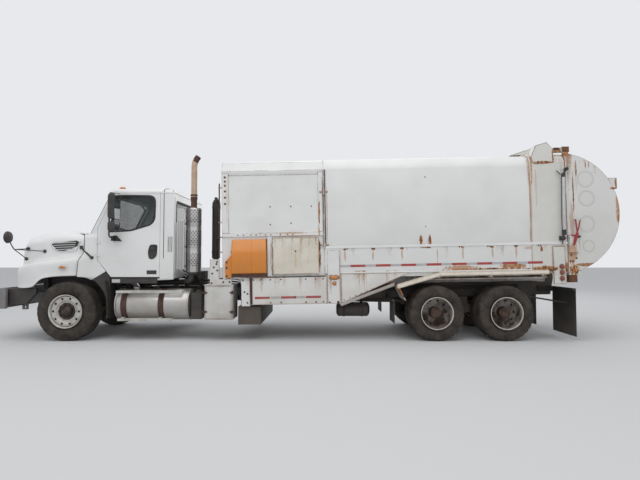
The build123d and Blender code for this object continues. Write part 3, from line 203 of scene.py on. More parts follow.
class Graph:
    """Adds nodes to a material's or a group's tree, and links them."""

    def __init__(self, tree):
        self.tree = tree

    def fill(self, socket, value):
        """Links a socket into another, or sets its value."""
        if isinstance(value, bpy.types.NodeSocket):
            self.tree.links.new(value, socket)
        else:
            socket.default_value = value

    def node(self, kind, inputs, **settings):
        """Adds a node; inputs fill its sockets by name or number."""
        made = self.tree.nodes.new("ShaderNode" + kind)
        for key, value in settings.items():
            setattr(made, key, value)
        for key, value in inputs.items():
            self.fill(made.inputs[key], value)
        return made

    def maths(self, operation, a, b=0.0, clamped=False):
        """One sum of two values."""
        return self.node("Math", {0: a, 1: b}, operation=operation, use_clamp=clamped).outputs[0]

    def add(self, a, b, clamped=False):
        return self.maths("ADD", a, b, clamped)

    def less(self, a, b):
        return self.maths("SUBTRACT", a, b)

    def times(self, a, b, clamped=False):
        return self.maths("MULTIPLY", a, b, clamped)

    def most(self, a, b):
        return self.maths("MAXIMUM", a, b)

    def place(self):
        """The piece's own coordinates."""
        return self.node("TexCoord", {}).outputs["Object"]

    def part(self, vector, axis):
        """A vector's X, Y or Z."""
        return self.node("SeparateXYZ", {0: vector}).outputs[axis]

    def dot(self, a, b):
        """How far two directions agree."""
        return self.node("VectorMath", {0: a, 1: b}, operation="DOT_PRODUCT").outputs["Value"]

    def stretch(self, vector, scale):
        """A place scaled along each axis, so that a pattern drawn there runs down."""
        return self.node("VectorMath", {0: vector, 1: scale}, operation="MULTIPLY").outputs["Vector"]

    def noise(self, vector, scale, detail, roughness=0.5):
        """A cloudy pattern from 0 to 1."""
        inputs = {"Vector": vector, "Scale": scale, "Detail": detail, "Roughness": roughness}
        return self.node("TexNoise", inputs).outputs[0]

    def span(self, value, **limits):
        """A value taken from one range to another."""
        inputs = {key.replace("_", " "): limit for key, limit in limits.items()}
        return self.node("MapRange", {"Value": value, **inputs}).outputs["Result"]

    def ramp(self, value, low, high):
        """Runs a value smoothly from 0 at low to 1 at high."""
        inputs = {"Value": value, "From Min": low, "From Max": high}
        return self.node("MapRange", inputs, interpolation_type="SMOOTHSTEP").outputs["Result"]

    def tint(self, mask, clean, stain):
        """Mixes two colours by a mask."""
        return self.node("Mix", {0: mask, 6: clean, 7: stain}, data_type="RGBA").outputs[2]

    def deck_height(self):
        """The distance above the deck hinge, square to the rails, and the piece's own coordinates."""
        place = self.place()
        level = deck_origin.x * sin(deck_rake) + deck_origin.z * cos(deck_rake)
        return self.less(self.dot(place, (sin(deck_rake), 0, cos(deck_rake))), level), place

    def bump(self, shader, height, strength, distance):
        """Raises a shader's surface by a height."""
        lift = self.node("Bump", {"Height": height, "Strength": strength, "Distance": distance})
        self.fill(shader.inputs["Normal"], lift.outputs[0])

    def stain(self, group, **inputs):
        """Adds a stain group to a material, and gives its colour and its mask."""
        made = self.tree.nodes.new("ShaderNodeGroup")
        made.node_tree = group
        for label, value in inputs.items():
            self.fill(made.inputs[label], value)
        return made.outputs["Color"], made.outputs["Mask"]


def stain_group(name, **given):
    """A shader group's graph, its input sockets by name and its end; a tuple is a colour."""
    tree = bpy.data.node_groups.new(name, "ShaderNodeTree")
    for label, value in given.items():
        kind = "NodeSocketFloat" if isinstance(value, float) else "NodeSocketColor"
        socket = tree.interface.new_socket(label, in_out="INPUT", socket_type=kind)
        if value is not None:
            socket.default_value = value
    tree.interface.new_socket("Color", in_out="OUTPUT", socket_type="NodeSocketColor")
    tree.interface.new_socket("Mask", in_out="OUTPUT", socket_type="NodeSocketFloat")
    return Graph(tree), tree.nodes.new("NodeGroupInput").outputs, tree.nodes.new("NodeGroupOutput").inputs


# road dirt that gathers low down and in patches
g, given, end = stain_group("Road dirt", Clean=None, Dirt=None, Amount=0.4, Patch=3.0, Low=0.5, High=2.0)
place = g.place()
low_down = g.span(g.part(place, "Z"), From_Min=given["High"], From_Max=given["Low"])
cloud = g.times(g.ramp(g.noise(place, given["Patch"], 9.0), 0.32, 0.72), 0.75)
cloud = g.add(g.add(cloud, g.times(g.noise(place, 60.0, 4.0), 0.3)), g.times(low_down, 0.6))
mask = g.times(cloud, given["Amount"], True)
g.fill(end["Color"], g.tint(mask, given["Clean"], given["Dirt"]))
g.fill(end["Mask"], mask)
road_dirt = g.tree

# rust that breaks out along edges, welds and corners
g, given, end = stain_group("Edge rust", Color=None, Rust=(0.20, 0.075, 0.025, 1), Amount=0.5, Width=0.015,
                            Patch=4.0)
place = g.place()
rounded_normal = g.node("Bevel", {"Radius": given["Width"]}, samples=4).outputs[0]
edge = g.ramp(g.dot(rounded_normal, g.node("NewGeometry", {}).outputs["Normal"]), 0.995, 0.90)
spread = g.add(g.times(g.noise(place, given["Patch"], 8.0), 0.65), g.times(g.noise(place, 45.0, 5.0), 0.35))
limit = g.less(0.78, g.times(given["Amount"], 0.42))
mask = g.times(edge, g.span(spread, From_Min=limit, From_Max=g.add(limit, 0.1)), True)
g.fill(end["Color"], g.tint(mask, given["Color"], given["Rust"]))
g.fill(end["Mask"], mask)
edge_rust = g.tree

# stains that run down from a seam at a given height over the deck
g, given, end = stain_group(
    "Rust runs", Color=None, Rust=(0.33, 0.155, 0.055, 1), Seam=0.65, Run=0.4, Amount=0.5, Columns=5.0,
)
up, place = g.deck_height()
drop = g.maths("DIVIDE", g.less(given["Seam"], up), given["Run"])
columns = g.noise(g.stretch(place, (1.0, 1.0, 0.06)), given["Columns"], 7.0, 0.62)
spread = g.add(columns, g.times(g.less(g.noise(place, 38.0, 5.0), 0.5), 0.22))
limit = g.add(g.less(0.80, g.times(given["Amount"], 0.40)), g.times(drop, 0.16))
inside = g.times(g.ramp(drop, -0.03, 0.01), g.ramp(drop, 1.0, 0.25))
mask = g.times(g.times(g.span(spread, From_Min=limit, From_Max=g.add(limit, 0.14)), inside), 0.85, True)
g.fill(end["Color"], g.tint(mask, given["Color"], given["Rust"]))
g.fill(end["Mask"], mask)
rust_runs = g.tree

# a patch of rust or a long stain round one place on the body's side, or a thin line of painted shadow
g, given, end = stain_group(
    "Rust and shadow spot", Color=None, Rust=(0.46, 0.205, 0.07, 1), Core=(0.07, 0.030, 0.017, 1), Noise=0.5, Along=0.0,
    Up=0.0, U=0.0, W=0.0, HalfU=0.1, HalfW=0.1, Amount=0.8,
)
off_u, off_w = (
    g.maths("POWER", g.maths("DIVIDE", g.less(given[where], given[centre]), given[half]), 2.0)
    for where, centre, half in (("Along", "U", "HalfU"), ("Up", "W", "HalfW"))
)
spread = g.add(off_u, off_w)
blotch = g.times(g.less(given["Noise"], 0.5), 3.2)
mask = g.ramp(g.add(g.ramp(spread, 1.5, 0.0), blotch), 0.22, 0.85)
mask = g.times(g.times(mask, g.ramp(spread, 1.5, 0.9)), given["Amount"], True)
core = g.times(g.ramp(mask, 0.80, 1.0), g.ramp(given["Noise"], 0.46, 0.60))
g.fill(end["Color"], g.tint(core, g.tint(mask, given["Color"], given["Rust"]), given["Core"]))
g.fill(end["Mask"], mask)
rust_and_shadow_spot = g.tree


def new_material(name):
    """A new material with its graph and its shader."""
    made = bpy.data.materials.new(name)
    made.use_nodes = True
    return made, Graph(made.node_tree), made.node_tree.nodes["Principled BSDF"]


def painted(name, paint, dirt, dirt_amount=0.5, rust_amount=0.4, gloss=0.35, low=0.3, high=1.6, patch=3.0,
            bump=0.15, metallic=0.0, coat=0.0, runs=(), spots=(), edge_width=0.015, swell_size=2.2):
    """A painted or bare finish with road dirt over it, rust along its edges and runs below its seams.
    runs: rows of a seam's height over the deck, length, amount and columns a metre
    spots: rows of a place along and over the deck, half length, half height and amount"""
    made, g, shader = new_material(name)
    colour, rough_mask = g.stain(
        road_dirt, Clean=(*paint, 1), Dirt=(*dirt, 1), Amount=dirt_amount, Patch=patch, Low=low, High=high,
    )
    if rust_amount:
        colour, mask = g.stain(edge_rust, Color=colour, Amount=rust_amount, Width=edge_width)
        rough_mask = g.most(rough_mask, mask)
    for seam, length, amount, columns in runs:
        colour, mask = g.stain(rust_runs, Color=colour, Seam=seam, Run=length, Amount=amount, Columns=columns)
        rough_mask = g.most(rough_mask, mask)
    if spots:
        up, place = g.deck_height()
        level = (cos(deck_rake), 0, -sin(deck_rake))
        along = g.less(g.dot(place, level), deck_origin.dot(Vector(level)))
        noise = g.noise(g.stretch(place, (1.0, 1.0, 0.3)), 30.0, 8.0, 0.72)
        across = g.maths("ABSOLUTE", g.part(place, "Y"))
        outer = g.add(g.ramp(across, 0.70, 1.12), 0.12, True)
    for u, w, half_u, half_w, amount in spots:
        colour, mask = g.stain(
            rust_and_shadow_spot, Color=colour, Noise=noise, Along=along, Up=up, U=u, W=w, HalfU=half_u, HalfW=half_w,
            Amount=g.times(outer, amount),
        )
        rough_mask = g.most(rough_mask, mask)
    g.fill(shader.inputs["Base Color"], colour)
    g.fill(shader.inputs["Roughness"], g.span(rough_mask, To_Min=gloss, To_Max=0.9))
    shader.inputs["Metallic"].default_value = metallic
    shader.inputs["Coat Weight"].default_value = coat
    shader.inputs["Coat Roughness"].default_value = 0.12
    if bump:
        place = g.place()
        height = g.add(g.times(g.noise(place, 160.0, 3.0), 0.02), g.noise(place, swell_size, 1.0))
        g.bump(shader, g.add(height, g.times(rough_mask, 0.06)), bump, 0.02)
    return made


def dress(material, bevel, *names):
    """Gives CAD nodes their material and softened edges."""
    for name in names:
        nodes[name].data.materials.clear()
        nodes[name].data.materials.append(material)
        soften(nodes[name], bevel, dissolve=True)


frame_paint = painted("Frame black", (0.028, 0.028, 0.03), (0.13, 0.105, 0.08), 0.55, 0.5, 0.5)
dress(frame_paint, 0.004, "chassis_frame", "arm_housing")
rail_y = 0.432
bolts = Shape()
for _ in both(bolts):
    for u in (0.15, 1.10, 1.894, 2.90, 4.30, 5.60, 7.00, 8.05, 10.43):
        for along in (-0.03, 0.03):
            for w in (-0.160, -0.215):
                bolts.bolt((u + along, rail_y, w))
    for i in range(24):
        bolts.bolt((0.35 + 0.42 * i, rail_y, -0.335), 0.009)
bolts.make("frame_bolts", frame_paint, "chassis", "frame_black", deck_place)

# Air and electric lines: black nylon tubes clipped along the inside of both rails. They are
# pulled tight by their clips.
line_black = painted("Line black", (0.02, 0.02, 0.022), (0.10, 0.085, 0.065), 0.5, 0, 0.55, bump=0)
lines = Shape()
for side in both(lines):
    gap = 0.004 if side > 0 else 0.008
    for y, w, wave in ((0.445, -0.175, 0.006), (0.447, -0.205, 0.009), (0.443, -0.235, 0.007)):
        path = [(0.7 + 0.42 * i, y + gap, w + wave * sin(i * 2.1 + w * 40)) for i in range(15)]
        lines.tube(path, 0.009, 8, smooth=3)
    for u in [0.7 + 0.84 * i for i in range(8)]:
        lines.box((u - 0.012, u + 0.012), (0.430, 0.462), (-0.25, -0.16))
lines.make("frame_lines", line_black, "chassis", "frame_black", deck_place)

# Tyres: wide single tyres that steer, with five straight grooves, and twin tyres behind with
# notched shoulder blocks. Black rubber gone grey with road dust, paler on the side walls.
tyre_rubber, g, shader = new_material("Tyre rubber")
place = g.place()
grit = g.noise(place, 90.0, 4.0)
mask = g.ramp(g.add(g.times(g.noise(place, 5.0, 9.0, 0.65), 0.8), g.times(grit, 0.35)), 0.40, 0.78)
g.fill(shader.inputs["Base Color"], g.tint(mask, (0.014, 0.0125, 0.0115, 1), (0.088, 0.070, 0.056, 1)))
g.fill(shader.inputs["Roughness"], g.span(mask, To_Min=0.62, To_Max=0.92))
shader.inputs["Specular IOR Level"].default_value = 0.35
g.bump(shader, grit, 0.25, 0.004)
bead_radius = 0.298


def tyre(name, x, y, radius, width, body, grooves, notch):
    """One tyre: its side walls bulge and its tread is cut by grooves and shoulder notches."""
    half = width / 2
    tread = half * 0.80
    rise = radius - bead_radius
    foot = ((0.62, 0), (0.70, 0.010), (0.80, 0.028), (0.835, 0.034))
    bulge = (
        (0.93, 0.30), (0.985, 0.44), (0.992, 0.47), (1.0, 0.50), (0.992, 0.53), (0.975, 0.66), (0.94, 0.78),
        (0.925, 0.80),
    )
    wall = [(half * a, bead_radius + b) for a, b in foot]
    wall += [(half * a, bead_radius + rise * b) for a, b in bulge]
    wall += [(half * 0.88, radius - 0.026), (tread + 0.002, radius - 0.011), (tread - 0.012, radius - 0.005)]
    depth, gap = 0.014, 0.0055
    cut = []
    for e in [tread * (1 - 2 * (i + 0.5) / grooves) for i in range(grooves)]:
        top = radius - 0.005 * (e / tread) ** 2
        cut += [(e + gap, top), (e + gap * 0.55, top - depth), (e - gap * 0.55, top - depth), (e - gap, top)]
    inside = [(-half * 0.55, bead_radius + 0.006), (-half * 0.8, radius - rise * 0.5), (0, radius - 0.04)]
    inside += [(half * 0.8, radius - rise * 0.5), (half * 0.55, bead_radius + 0.006)]
    steps = 120
    rings = []
    for along, r in wall + cut + [(-a, r) for a, r in reversed(wall)] + inside:
        shoulder = abs(abs(along) - tread) < 0.018 and r > radius - 0.02
        shoulder = shoulder or (notch > 0.01 and tread * 0.55 < abs(along) < tread and r > radius - 0.008)
        ring = []
        for i in range(steps):
            a = 2 * pi * i / steps
            reach = r - notch if shoulder and i % 4 == 0 else r
            ring.append((x + reach * cos(a), y + along, radius + reach * sin(a)))
        rings.append(ring)
    return Shape().sweep(rings, closed=True).make(name, tyre_rubber, body, "tyre_rubber", smooth=30)


front_x, front_y, front_radius = 4.614, 1.015, 0.562
rear_wheels = (("middle", -2.437), ("rear", -3.757))
outer_y, inner_y, rear_radius = 1.080, 0.750, 0.525
rear_y = (outer_y + inner_y) / 2
for side, hand in hands:
    body = f"wheel_front_{hand}"
    made = tyre(f"tread_front_{hand}", front_x, side * front_y, front_radius, 0.385, body, 5, 0.006)
    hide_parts(f"tyre_front_{hand}")
    for spot, x in rear_wheels:
        body = f"wheel_{spot}_{hand}"
        for which, y in (("outer", outer_y), ("inner", inner_y)):
            made = tyre(f"tread_{spot}_{which}_{hand}", x, side * y, rear_radius, 0.270, body, 4, 0.011)
            if which == "outer":
                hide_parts(f"tyre_{spot}_{hand}")

# Wheels: pressed steel discs in rolled rims, with ten round hand holes, ten nuts and the hub.
# The front ones are bright and shallow; the rear ones are deep and brown with brake dust.
rim_bright = painted("Rim alloy", (0.66, 0.65, 0.62), (0.20, 0.15, 0.11), 0.45, 0.30, 0.36, low=0.2, high=0.6,
                     patch=9, metallic=0.35, bump=0.05)
rim_brown = painted("Rim rear", (0.56, 0.53, 0.48), (0.07, 0.045, 0.033), 0.80, 0.5, 0.45, low=0.3, high=1.0,
                    patch=7, bump=0.1)
rim_grime = painted("Rim grime", (0.16, 0.145, 0.13), (0.045, 0.03, 0.025), 0.9, 0.4, 0.5, patch=16, bump=0.2)
black_iron = painted("Drum iron", (0.02, 0.018, 0.017), (0.06, 0.04, 0.03), 0.6, 0, 0.7, patch=9, bump=0)
hub_grime = painted("Hub grime", (0.15, 0.085, 0.06), (0.05, 0.03, 0.02), 0.8, 0.5, 0.4, patch=14, bump=0.3)


def dished_disc(shape, centre, rings, hole_radius, hole_size, holes=10, steps=80):
    """A disc turned about the axle whose band of faces at hole_radius is cut by round holes."""
    x, y, z = centre
    new = shape.bm.verts.new
    turned = []
    for reach, radius in rings:
        angles = [2 * pi * i / steps for i in range(steps)]
        turned.append([new(shape.at((x + radius * sin(a), y + reach, z + radius * cos(a)))) for a in angles])
    per = steps // holes
    for one, two, (d1, r1), (d2, r2) in zip(turned, turned[1:], rings, rings[1:]):
        if not min(r1, r2) < hole_radius < max(r1, r2):
            for i in range(steps):
                j = (i + 1) % steps
                shape.bm.faces.new((one[i], one[j], two[j], two[i]))
            continue
        slope = (d2 - d1) / (r2 - r1)
        depth = y + d1 + slope * (hole_radius - r1)
        for first in range(0, steps, per):
            loop = [one[(first + k) % steps] for k in range(per + 1)]
            loop += [two[(first + k) % steps] for k in range(per, -1, -1)]
            middle = 2 * pi * (first + per / 2) / steps
            out, round_way = Vector((sin(middle), 0, cos(middle))), Vector((cos(middle), 0, -sin(middle)))
            lip, well = [], []
            for v in loop:
                from_axle = Vector((v.co.x - x, 0, v.co.z - z))
                a = atan2(from_axle.dot(round_way), from_axle.dot(out) - hole_radius)
                at = out * (hole_radius + hole_size * cos(a)) + round_way * hole_size * sin(a)
                edge_y = depth + slope * hole_size * cos(a)
                lip.append(new(shape.at((x + at.x, edge_y, z + at.z))))
                well.append(new(shape.at((x + at.x, edge_y - 0.012, z + at.z))))
            count = len(loop)
            for k in range(count):
                m = (k + 1) % count
                shape.bm.faces.new((loop[k], loop[m], lip[m], lip[k]))
                shape.bm.faces.new((lip[k], lip[m], well[m], well[k]))


def on_circle(centre, radius, reach, count, phase):
    """Places on a circle round the axle."""
    x, y, z = centre
    angles = [2 * pi * (i + phase) / count for i in range(count)]
    return [(x + radius * sin(a), y + reach, z + radius * cos(a)) for a in angles]


def wheel_nuts(shape, centre, reach):
    """Ten nuts on their studs round the hub."""
    for x, y, z in on_circle(centre, 0.1425, reach, 10, 0.5):
        shape.bolt((x, y, z), 0.017, 0.024)
        shape.tube([(x, y, z), (x, y + 0.036, z)], 0.010, 8)


front_rim = (
    (0.180, 0.300), (0.186, 0.320), (0.192, 0.320), (0.194, 0.311), (0.187, 0.302), (0.178, 0.296),
    (0.150, 0.291), (0.100, 0.287), (-0.120, 0.283), (-0.160, 0.290), (-0.180, 0.306), (-0.172, 0.298),
)
front_disc = (
    (0.140, 0.2865), (0.154, 0.281), (0.158, 0.272), (0.156, 0.218), (0.140, 0.196), (0.126, 0.182),
    (0.122, 0.112),
)
front_hub = (
    (-0.09, 0.02), (-0.09, 0.108), (0.118, 0.112), (0.150, 0.106), (0.156, 0.098), (0.156, 0.088),
    (0.150, 0.084), (0.166, 0.078), (0.172, 0.070), (0.172, 0.050), (0.165, 0.046), (0.163, 0.024),
    (0.168, 0.020), (0.168, 0.004),
)
rear_rim = (
    (0.122, 0.299), (0.128, 0.309), (0.133, 0.309), (0.135, 0.301), (0.128, 0.294), (0.105, 0.288),
    (-0.075, 0.284), (-0.100, 0.282), (-0.118, 0.292), (-0.127, 0.305), (-0.120, 0.299), (-0.07, 0.292),
    (0.10, 0.296),
)
rear_disc = (
    (0.050, 0.284), (0.040, 0.272), (0.034, 0.262), (0.032, 0.205), (0.040, 0.188), (0.044, 0.176),
    (0.044, 0.100),
)
rear_hub = (
    (-0.22, 0.03), (-0.22, 0.110), (0.048, 0.112), (0.052, 0.104), (0.110, 0.098), (0.150, 0.092),
    (0.160, 0.104), (0.176, 0.104), (0.180, 0.098), (0.182, 0.052), (0.176, 0.048), (0.176, 0.02),
)
rear_lip = ((0.121, 0.300), (0.128, 0.3105), (0.134, 0.3105), (0.137, 0.301), (0.130, 0.293), (0.112, 0.2885))
for side, hand in hands:
    body, centre = f"wheel_front_{hand}", (front_x, front_y, front_radius)
    rim, nuts, hub, drum = (Shape(side) for _ in range(4))
    rim.lathe(front_rim, centre, steps=80, closed=True, way=side)
    dished_disc(rim, centre, front_disc, 0.245, 0.023)
    made = rim.make(f"disc_front_{hand}", rim_bright, body, "rim_front_steel", smooth=35)
    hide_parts(f"rim_front_{hand}")
    wheel_nuts(nuts, centre, 0.124)
    ring = ((0.118, 0.112), (0.124, 0.113), (0.125, 0.170), (0.120, 0.171))
    nuts.lathe(ring, centre, steps=48, closed=True, way=side)
    nuts.make(f"nuts_front_{hand}", rim_grime, body, "rim_front_steel")
    hub.lathe([(a, r * 0.88) for a, r in front_hub], centre, steps=40, way=side)
    for at in on_circle(centre, 0.085, 0.154, 6, 0):
        hub.bolt(at, 0.0065, 0.006)
    hub.make(f"hub_front_{hand}", rim_grime, body, "rim_front_steel")
    section = [(-0.10, 0.10), (-0.10, 0.245), (-0.08, 0.262), (0.095, 0.262), (0.10, 0.10)]
    drum.lathe(section, centre, steps=48, way=side)
    drum.make(f"drum_front_{hand}", black_iron, body, "rim_front_steel")
    for spot, x in rear_wheels:
        body, centre = f"wheel_{spot}_{hand}", (x, rear_y, rear_radius)
        rim, hub, drum, lip = (Shape(side) for _ in range(4))
        for y, way in ((outer_y, side), (inner_y, -side)):
            rim.lathe(rear_rim, (x, y, rear_radius), steps=80, closed=True, way=way)
        dished_disc(rim, centre, rear_disc, 0.234, 0.024)
        wheel_nuts(rim, centre, 0.044)
        made = rim.make(f"disc_{spot}_{hand}", rim_brown, body, "rim_rear_steel", smooth=35)
        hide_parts(f"rim_{spot}_{hand}")
        hub.lathe(rear_hub, centre, steps=40, way=side)
        for at in on_circle(centre, 0.080, 0.181, 8, 0.5):
            hub.bolt(at, 0.0085, 0.008)
        hub.make(f"hub_{spot}_{hand}", hub_grime, body, "rim_rear_steel")
        section = [(-0.20, 0.10), (-0.20, 0.245), (-0.18, 0.262), (0.008, 0.262), (0.012, 0.10)]
        drum.lathe(section, centre, steps=48, way=side)
        drum.make(f"drum_{spot}_{hand}", black_iron, body, "rim_rear_steel")
        lip.lathe(rear_lip, (x, outer_y, rear_radius), steps=80, closed=True, way=side)
        lip.make(f"lip_{spot}_{hand}", rim_bright, body, "rim_rear_steel", smooth=60)

# Hood: one moulded shell with its fenders, white gel coat with road film low down. It tips
# forward on the hinge ahead of the grille; vents, lamps and rubber latches are fixed to it.
cab_paint = painted("Cab white", (0.83, 0.83, 0.82), (0.34, 0.31, 0.26), 0.14, 0.25, 0.28, low=0.9, high=1.9,
                    patch=2.2, bump=0.08, coat=0.35, edge_width=0.010)
# columns of the stations: x, height and half width of the top, of the side and of the fender
hood_stations = (
    (4.240, 2.075, 0.690, 1.950, 0.985, 1.620, 1.040),
    (4.770, 2.150, 0.620, 1.980, 0.900, 1.560, 1.150),
    (5.280, 2.092, 0.560, 1.915, 0.830, 1.500, 1.185),
    (5.520, 2.058, 0.540, 1.875, 0.795, 1.440, 1.130),
    (5.640, 2.035, 0.520, 1.840, 0.765, 1.400, 1.020),
    (5.760, 1.955, 0.460, 1.755, 0.690, 1.340, 0.850),
)
arch_line = (
    (4.24, 1.232), (4.40, 1.229), (4.62, 1.226), (4.80, 1.215), (4.92, 1.200), (5.01, 1.176), (5.08, 1.132),
    (5.14, 1.070), (5.19, 1.030), (5.26, 1.012), (5.80, 1.008),
)


def between(table, x, column=1):
    """A table's column at x, on a smooth curve through its rows."""
    for i in range(len(table) - 1):
        if x <= table[i + 1][0] or i == len(table) - 2:
            break
    x0, x1 = table[i][0], table[i + 1][0]
    y0, y1 = table[i][column], table[i + 1][column]
    run = (y1 - y0) / (x1 - x0)
    before = (y0 - table[i - 1][column]) / (x0 - table[i - 1][0]) if i else run
    after = (table[i + 2][column] - y1) / (table[i + 2][0] - x1) if i + 2 < len(table) else run
    m0, m1 = (run + before) / 2, (run + after) / 2
    t, h = min(1, (x - x0) / (x1 - x0)), x1 - x0
    ends = (2 * t**3 - 3 * t**2 + 1) * y0 + (3 * t**2 - 2 * t**3) * y1
    return ends + (t**3 - 2 * t**2 + t) * h * m0 + (t**3 - t**2) * h * m1


def hood_half(x, shrink=0.0):
    """The half outline of the hood at x, from its middle to its lower edge."""
    top_z, top_y, side_z, side_y, fender_z, fender_y = (between(hood_stations, x, c) for c in range(1, 7))
    low = between(arch_line, x)
    spread = fender_y - side_y
    half = [
        (0, top_z + 0.010),
        (0.45 * top_y, top_z + 0.006),
        (0.82 * top_y, top_z - 0.006),
        (top_y + 0.015, top_z - 0.026),
        (0.55 * top_y + 0.45 * side_y + 0.010, 0.60 * top_z + 0.40 * side_z + 0.006),
        (side_y - 0.030, side_z + 0.030),
        (side_y - 0.004, side_z - 0.006),
        (side_y + 0.006, side_z - 0.06),
        (side_y + 0.010, 0.5 * side_z + 0.5 * fender_z),
        (side_y + 0.014, fender_z + 0.110),
        (side_y + 0.028, fender_z + 0.050),
        (side_y + 0.25 * spread + 0.010, fender_z + 0.018),
        (side_y + 0.60 * spread, fender_z),
        (fender_y - 0.045, fender_z - 0.022),
        (fender_y - 0.010, fender_z - 0.060),
        (fender_y, fender_z - 0.120),
        (fender_y - 0.004, 0.35 * fender_z + 0.65 * low),
        (fender_y - 0.006, low + 0.050),
        (fender_y + 0.004, low + 0.016),
        (fender_y, low),
        (fender_y - 0.035, low - 0.002),
    ]
    middle_z = 1.5
    return [(y * (1 - shrink), middle_z + (z - middle_z) * (1 - shrink)) for y, z in half]


hood_rear_x, hood_front_x = 4.305, 5.758


def seam_shift(x, z, y=2.0):
    """The seam to the cab leans forward down the fender, and runs forward over the top round the cowl."""
    rear = 4.366 + 0.085 * clamp((1.70 - z) / 0.18) + 0.025 * clamp((1.56 - z) / 0.36)
    if z > 1.95:
        rear += 0.33 * clamp((0.90 - abs(y)) / 0.31) ** 0.8
    return hood_front_x - (hood_front_x - x) * (hood_front_x - rear) / (hood_front_x - hood_rear_x)


hood = Shape()
stations = [4.305 + 0.09 * i for i in range(8)] + [4.98 + 0.035 * i for i in range(9)]
stations += [5.34, 5.43, 5.52, 5.60, 5.66, 5.70, 5.73]
rows = [[(x, y, z) for y, z in hood_half(x)] for x in stations]
for x, shrink in ((5.748, 0.012), (5.757, 0.035)):
    rows.append([(x, y, z) for y, z in hood_half(min(x, 5.75), shrink)])
outlines = [[(x, -y, z) for x, y, z in row[:0:-1]] + row for row in rows]
last = hood.net([[(seam_shift(x, z, y), y, z) for x, y, z in line] for line in outlines])[-1]
for i in range(len(last) // 2):
    j = len(last) - 1 - i
    if i + 1 < j - 1:
        hood.bm.faces.new((last[i], last[i + 1], last[j - 1], last[j]))
    elif i + 1 == j - 1:
        hood.bm.faces.new((last[i], last[i + 1], last[j]))
hood_piece = hood.make("hood_skin", cab_paint, "hood", "white_paint", smooth=38, replaces=("hood_shell",))
shell = hood_piece.modifiers.new("shell", "SOLIDIFY")
shell.thickness = 0.018
shell.offset = -1
round_off = hood_piece.modifiers.new("round", "SUBSURF")
round_off.levels = 1
round_off.render_levels = 1

black_plastic = painted("Black plastic", (0.022, 0.022, 0.024), (0.12, 0.10, 0.08), 0.35, 0, 0.45, patch=6,
                        bump=0.1)
chrome = painted("Chrome", (0.70, 0.70, 0.70), (0.30, 0.26, 0.21), 0.2, 0.1, 0.12, patch=7, metallic=0.95,
                 bump=0)
vent_corners = ((5.112, 1.861), (4.475, 1.935), (4.560, 1.695), (4.986, 1.711))
vent_edge = []
for i, (x, z) in enumerate(vent_corners):
    for other in (vent_corners[i - 1], vent_corners[(i + 1) % 4]):
        vent_edge.append((x + (other[0] - x) * 0.12, z + (other[1] - z) * 0.16))


def on_flank(x, z, out):
    """A place that stands out from the hood's left flank."""
    return (x, between(hood_stations, x, 4) + 0.008 + out, z)


for side, hand in hands:
    well, rim, latch, rods = (Shape(side) for _ in range(4))
    well.sweep([[on_flank(x, z, out) for x, z in vent_edge] for out in (-0.01, 0.010)])
    well.make(f"vent_well_{hand}", black_plastic, "hood", "black_trim")
    rim.tube([on_flank(x, z, 0.012) for x, z in vent_edge], 0.013, 10, closed=True)
    for i in range(4):
        z = 1.742 + 0.042 * i
        ends = [on_flank(4.60 - 0.012 * i, z + 0.012, 0.014), on_flank(5.00 + 0.028 * i, z, 0.014)]
        rim.tube(ends, 0.0085, 8)
    rim.make(f"vent_rim_{hand}", chrome, "hood", "black_trim")
    latch.tube([(4.445, 0.990, 1.78), (4.34, 1.025, 1.694), (4.206, 1.055, 1.58)], 0.019, 8, smooth=4)
    latch.box((4.415, 4.475), (0.945, 0.995), (1.750, 1.815))
    latch.box((4.18, 4.235), (1.028, 1.055), (1.555, 1.61))
    latch.make(f"hood_latch_{hand}", black_plastic, "hood", "black_trim", bevel=0.003)
    joint, head = (5.700, 1.065, 1.742), (5.775, 1.130, 1.975)
    for x, y, z in (on_flank(5.235, 1.709, 0.004), (5.600, 0.800, 1.760), (5.560, 0.905, 1.560)):
        rods.tube([(x, y, z), joint], 0.0085, 8)
        pad = [(0, 0.004), (0.0, 0.034), (0.012, 0.036), (0.028, 0.030), (0.034, 0.004)]
        rods.lathe(pad, (x, y - 0.004, z), "y", 18)
    rods.tube([joint, (5.735, 1.10, 1.83), head], 0.010, 8, smooth=5)
    bowl = [(-0.045, 0.01), (-0.042, 0.06), (-0.02, 0.105), (0.012, 0.117), (0.022, 0.113), (0.024, 0.01)]
    rods.lathe(bowl, head, "x", 32)
    rods.make(f"hood_mirror_{hand}", black_plastic, "hood", "black_trim")

amber = painted("Amber lens", (0.62, 0.20, 0.02), (0.25, 0.15, 0.08), 0.25, 0, 0.12, patch=9, bump=0,
                coat=0.8)
clear_lens = painted("Clear lens", (0.62, 0.64, 0.66), (0.25, 0.22, 0.18), 0.25, 0, 0.08, patch=9, bump=0,
                     coat=1.0)
red_lens = painted("Red lens", (0.42, 0.02, 0.02), (0.2, 0.1, 0.08), 0.3, 0, 0.14, patch=9, bump=0, coat=0.8)


def oval_lamp(shape, at, wide, tall, proud):
    """A lens with a domed face that faces the side of the truck."""
    x, y, z = at
    rings = []
    for reach, scale in ((-0.004, 1.0), (proud * 0.45, 1.0), (proud * 0.8, 0.86), (proud, 0.5),
                         (proud * 1.04, 0.06)):
        angles = [2 * pi * k / 28 for k in range(28)]
        rings.append([(x + wide * scale * cos(a), y + reach, z + tall * scale * sin(a)) for a in angles])
    shape.sweep(rings)


lamps, rims = Shape(), Shape()
for _ in both(lamps, rims):
    oval_lamp(lamps, (4.714, 1.148, 1.400), 0.062, 0.028, 0.024)
    oval_lamp(rims, (4.714, 1.144, 1.400), 0.082, 0.041, 0.008)
lamps.make("fender_lamps", amber, "hood", "lamp_clear")
rims.make("fender_lamp_rims", chrome, "hood", "lamp_clear")

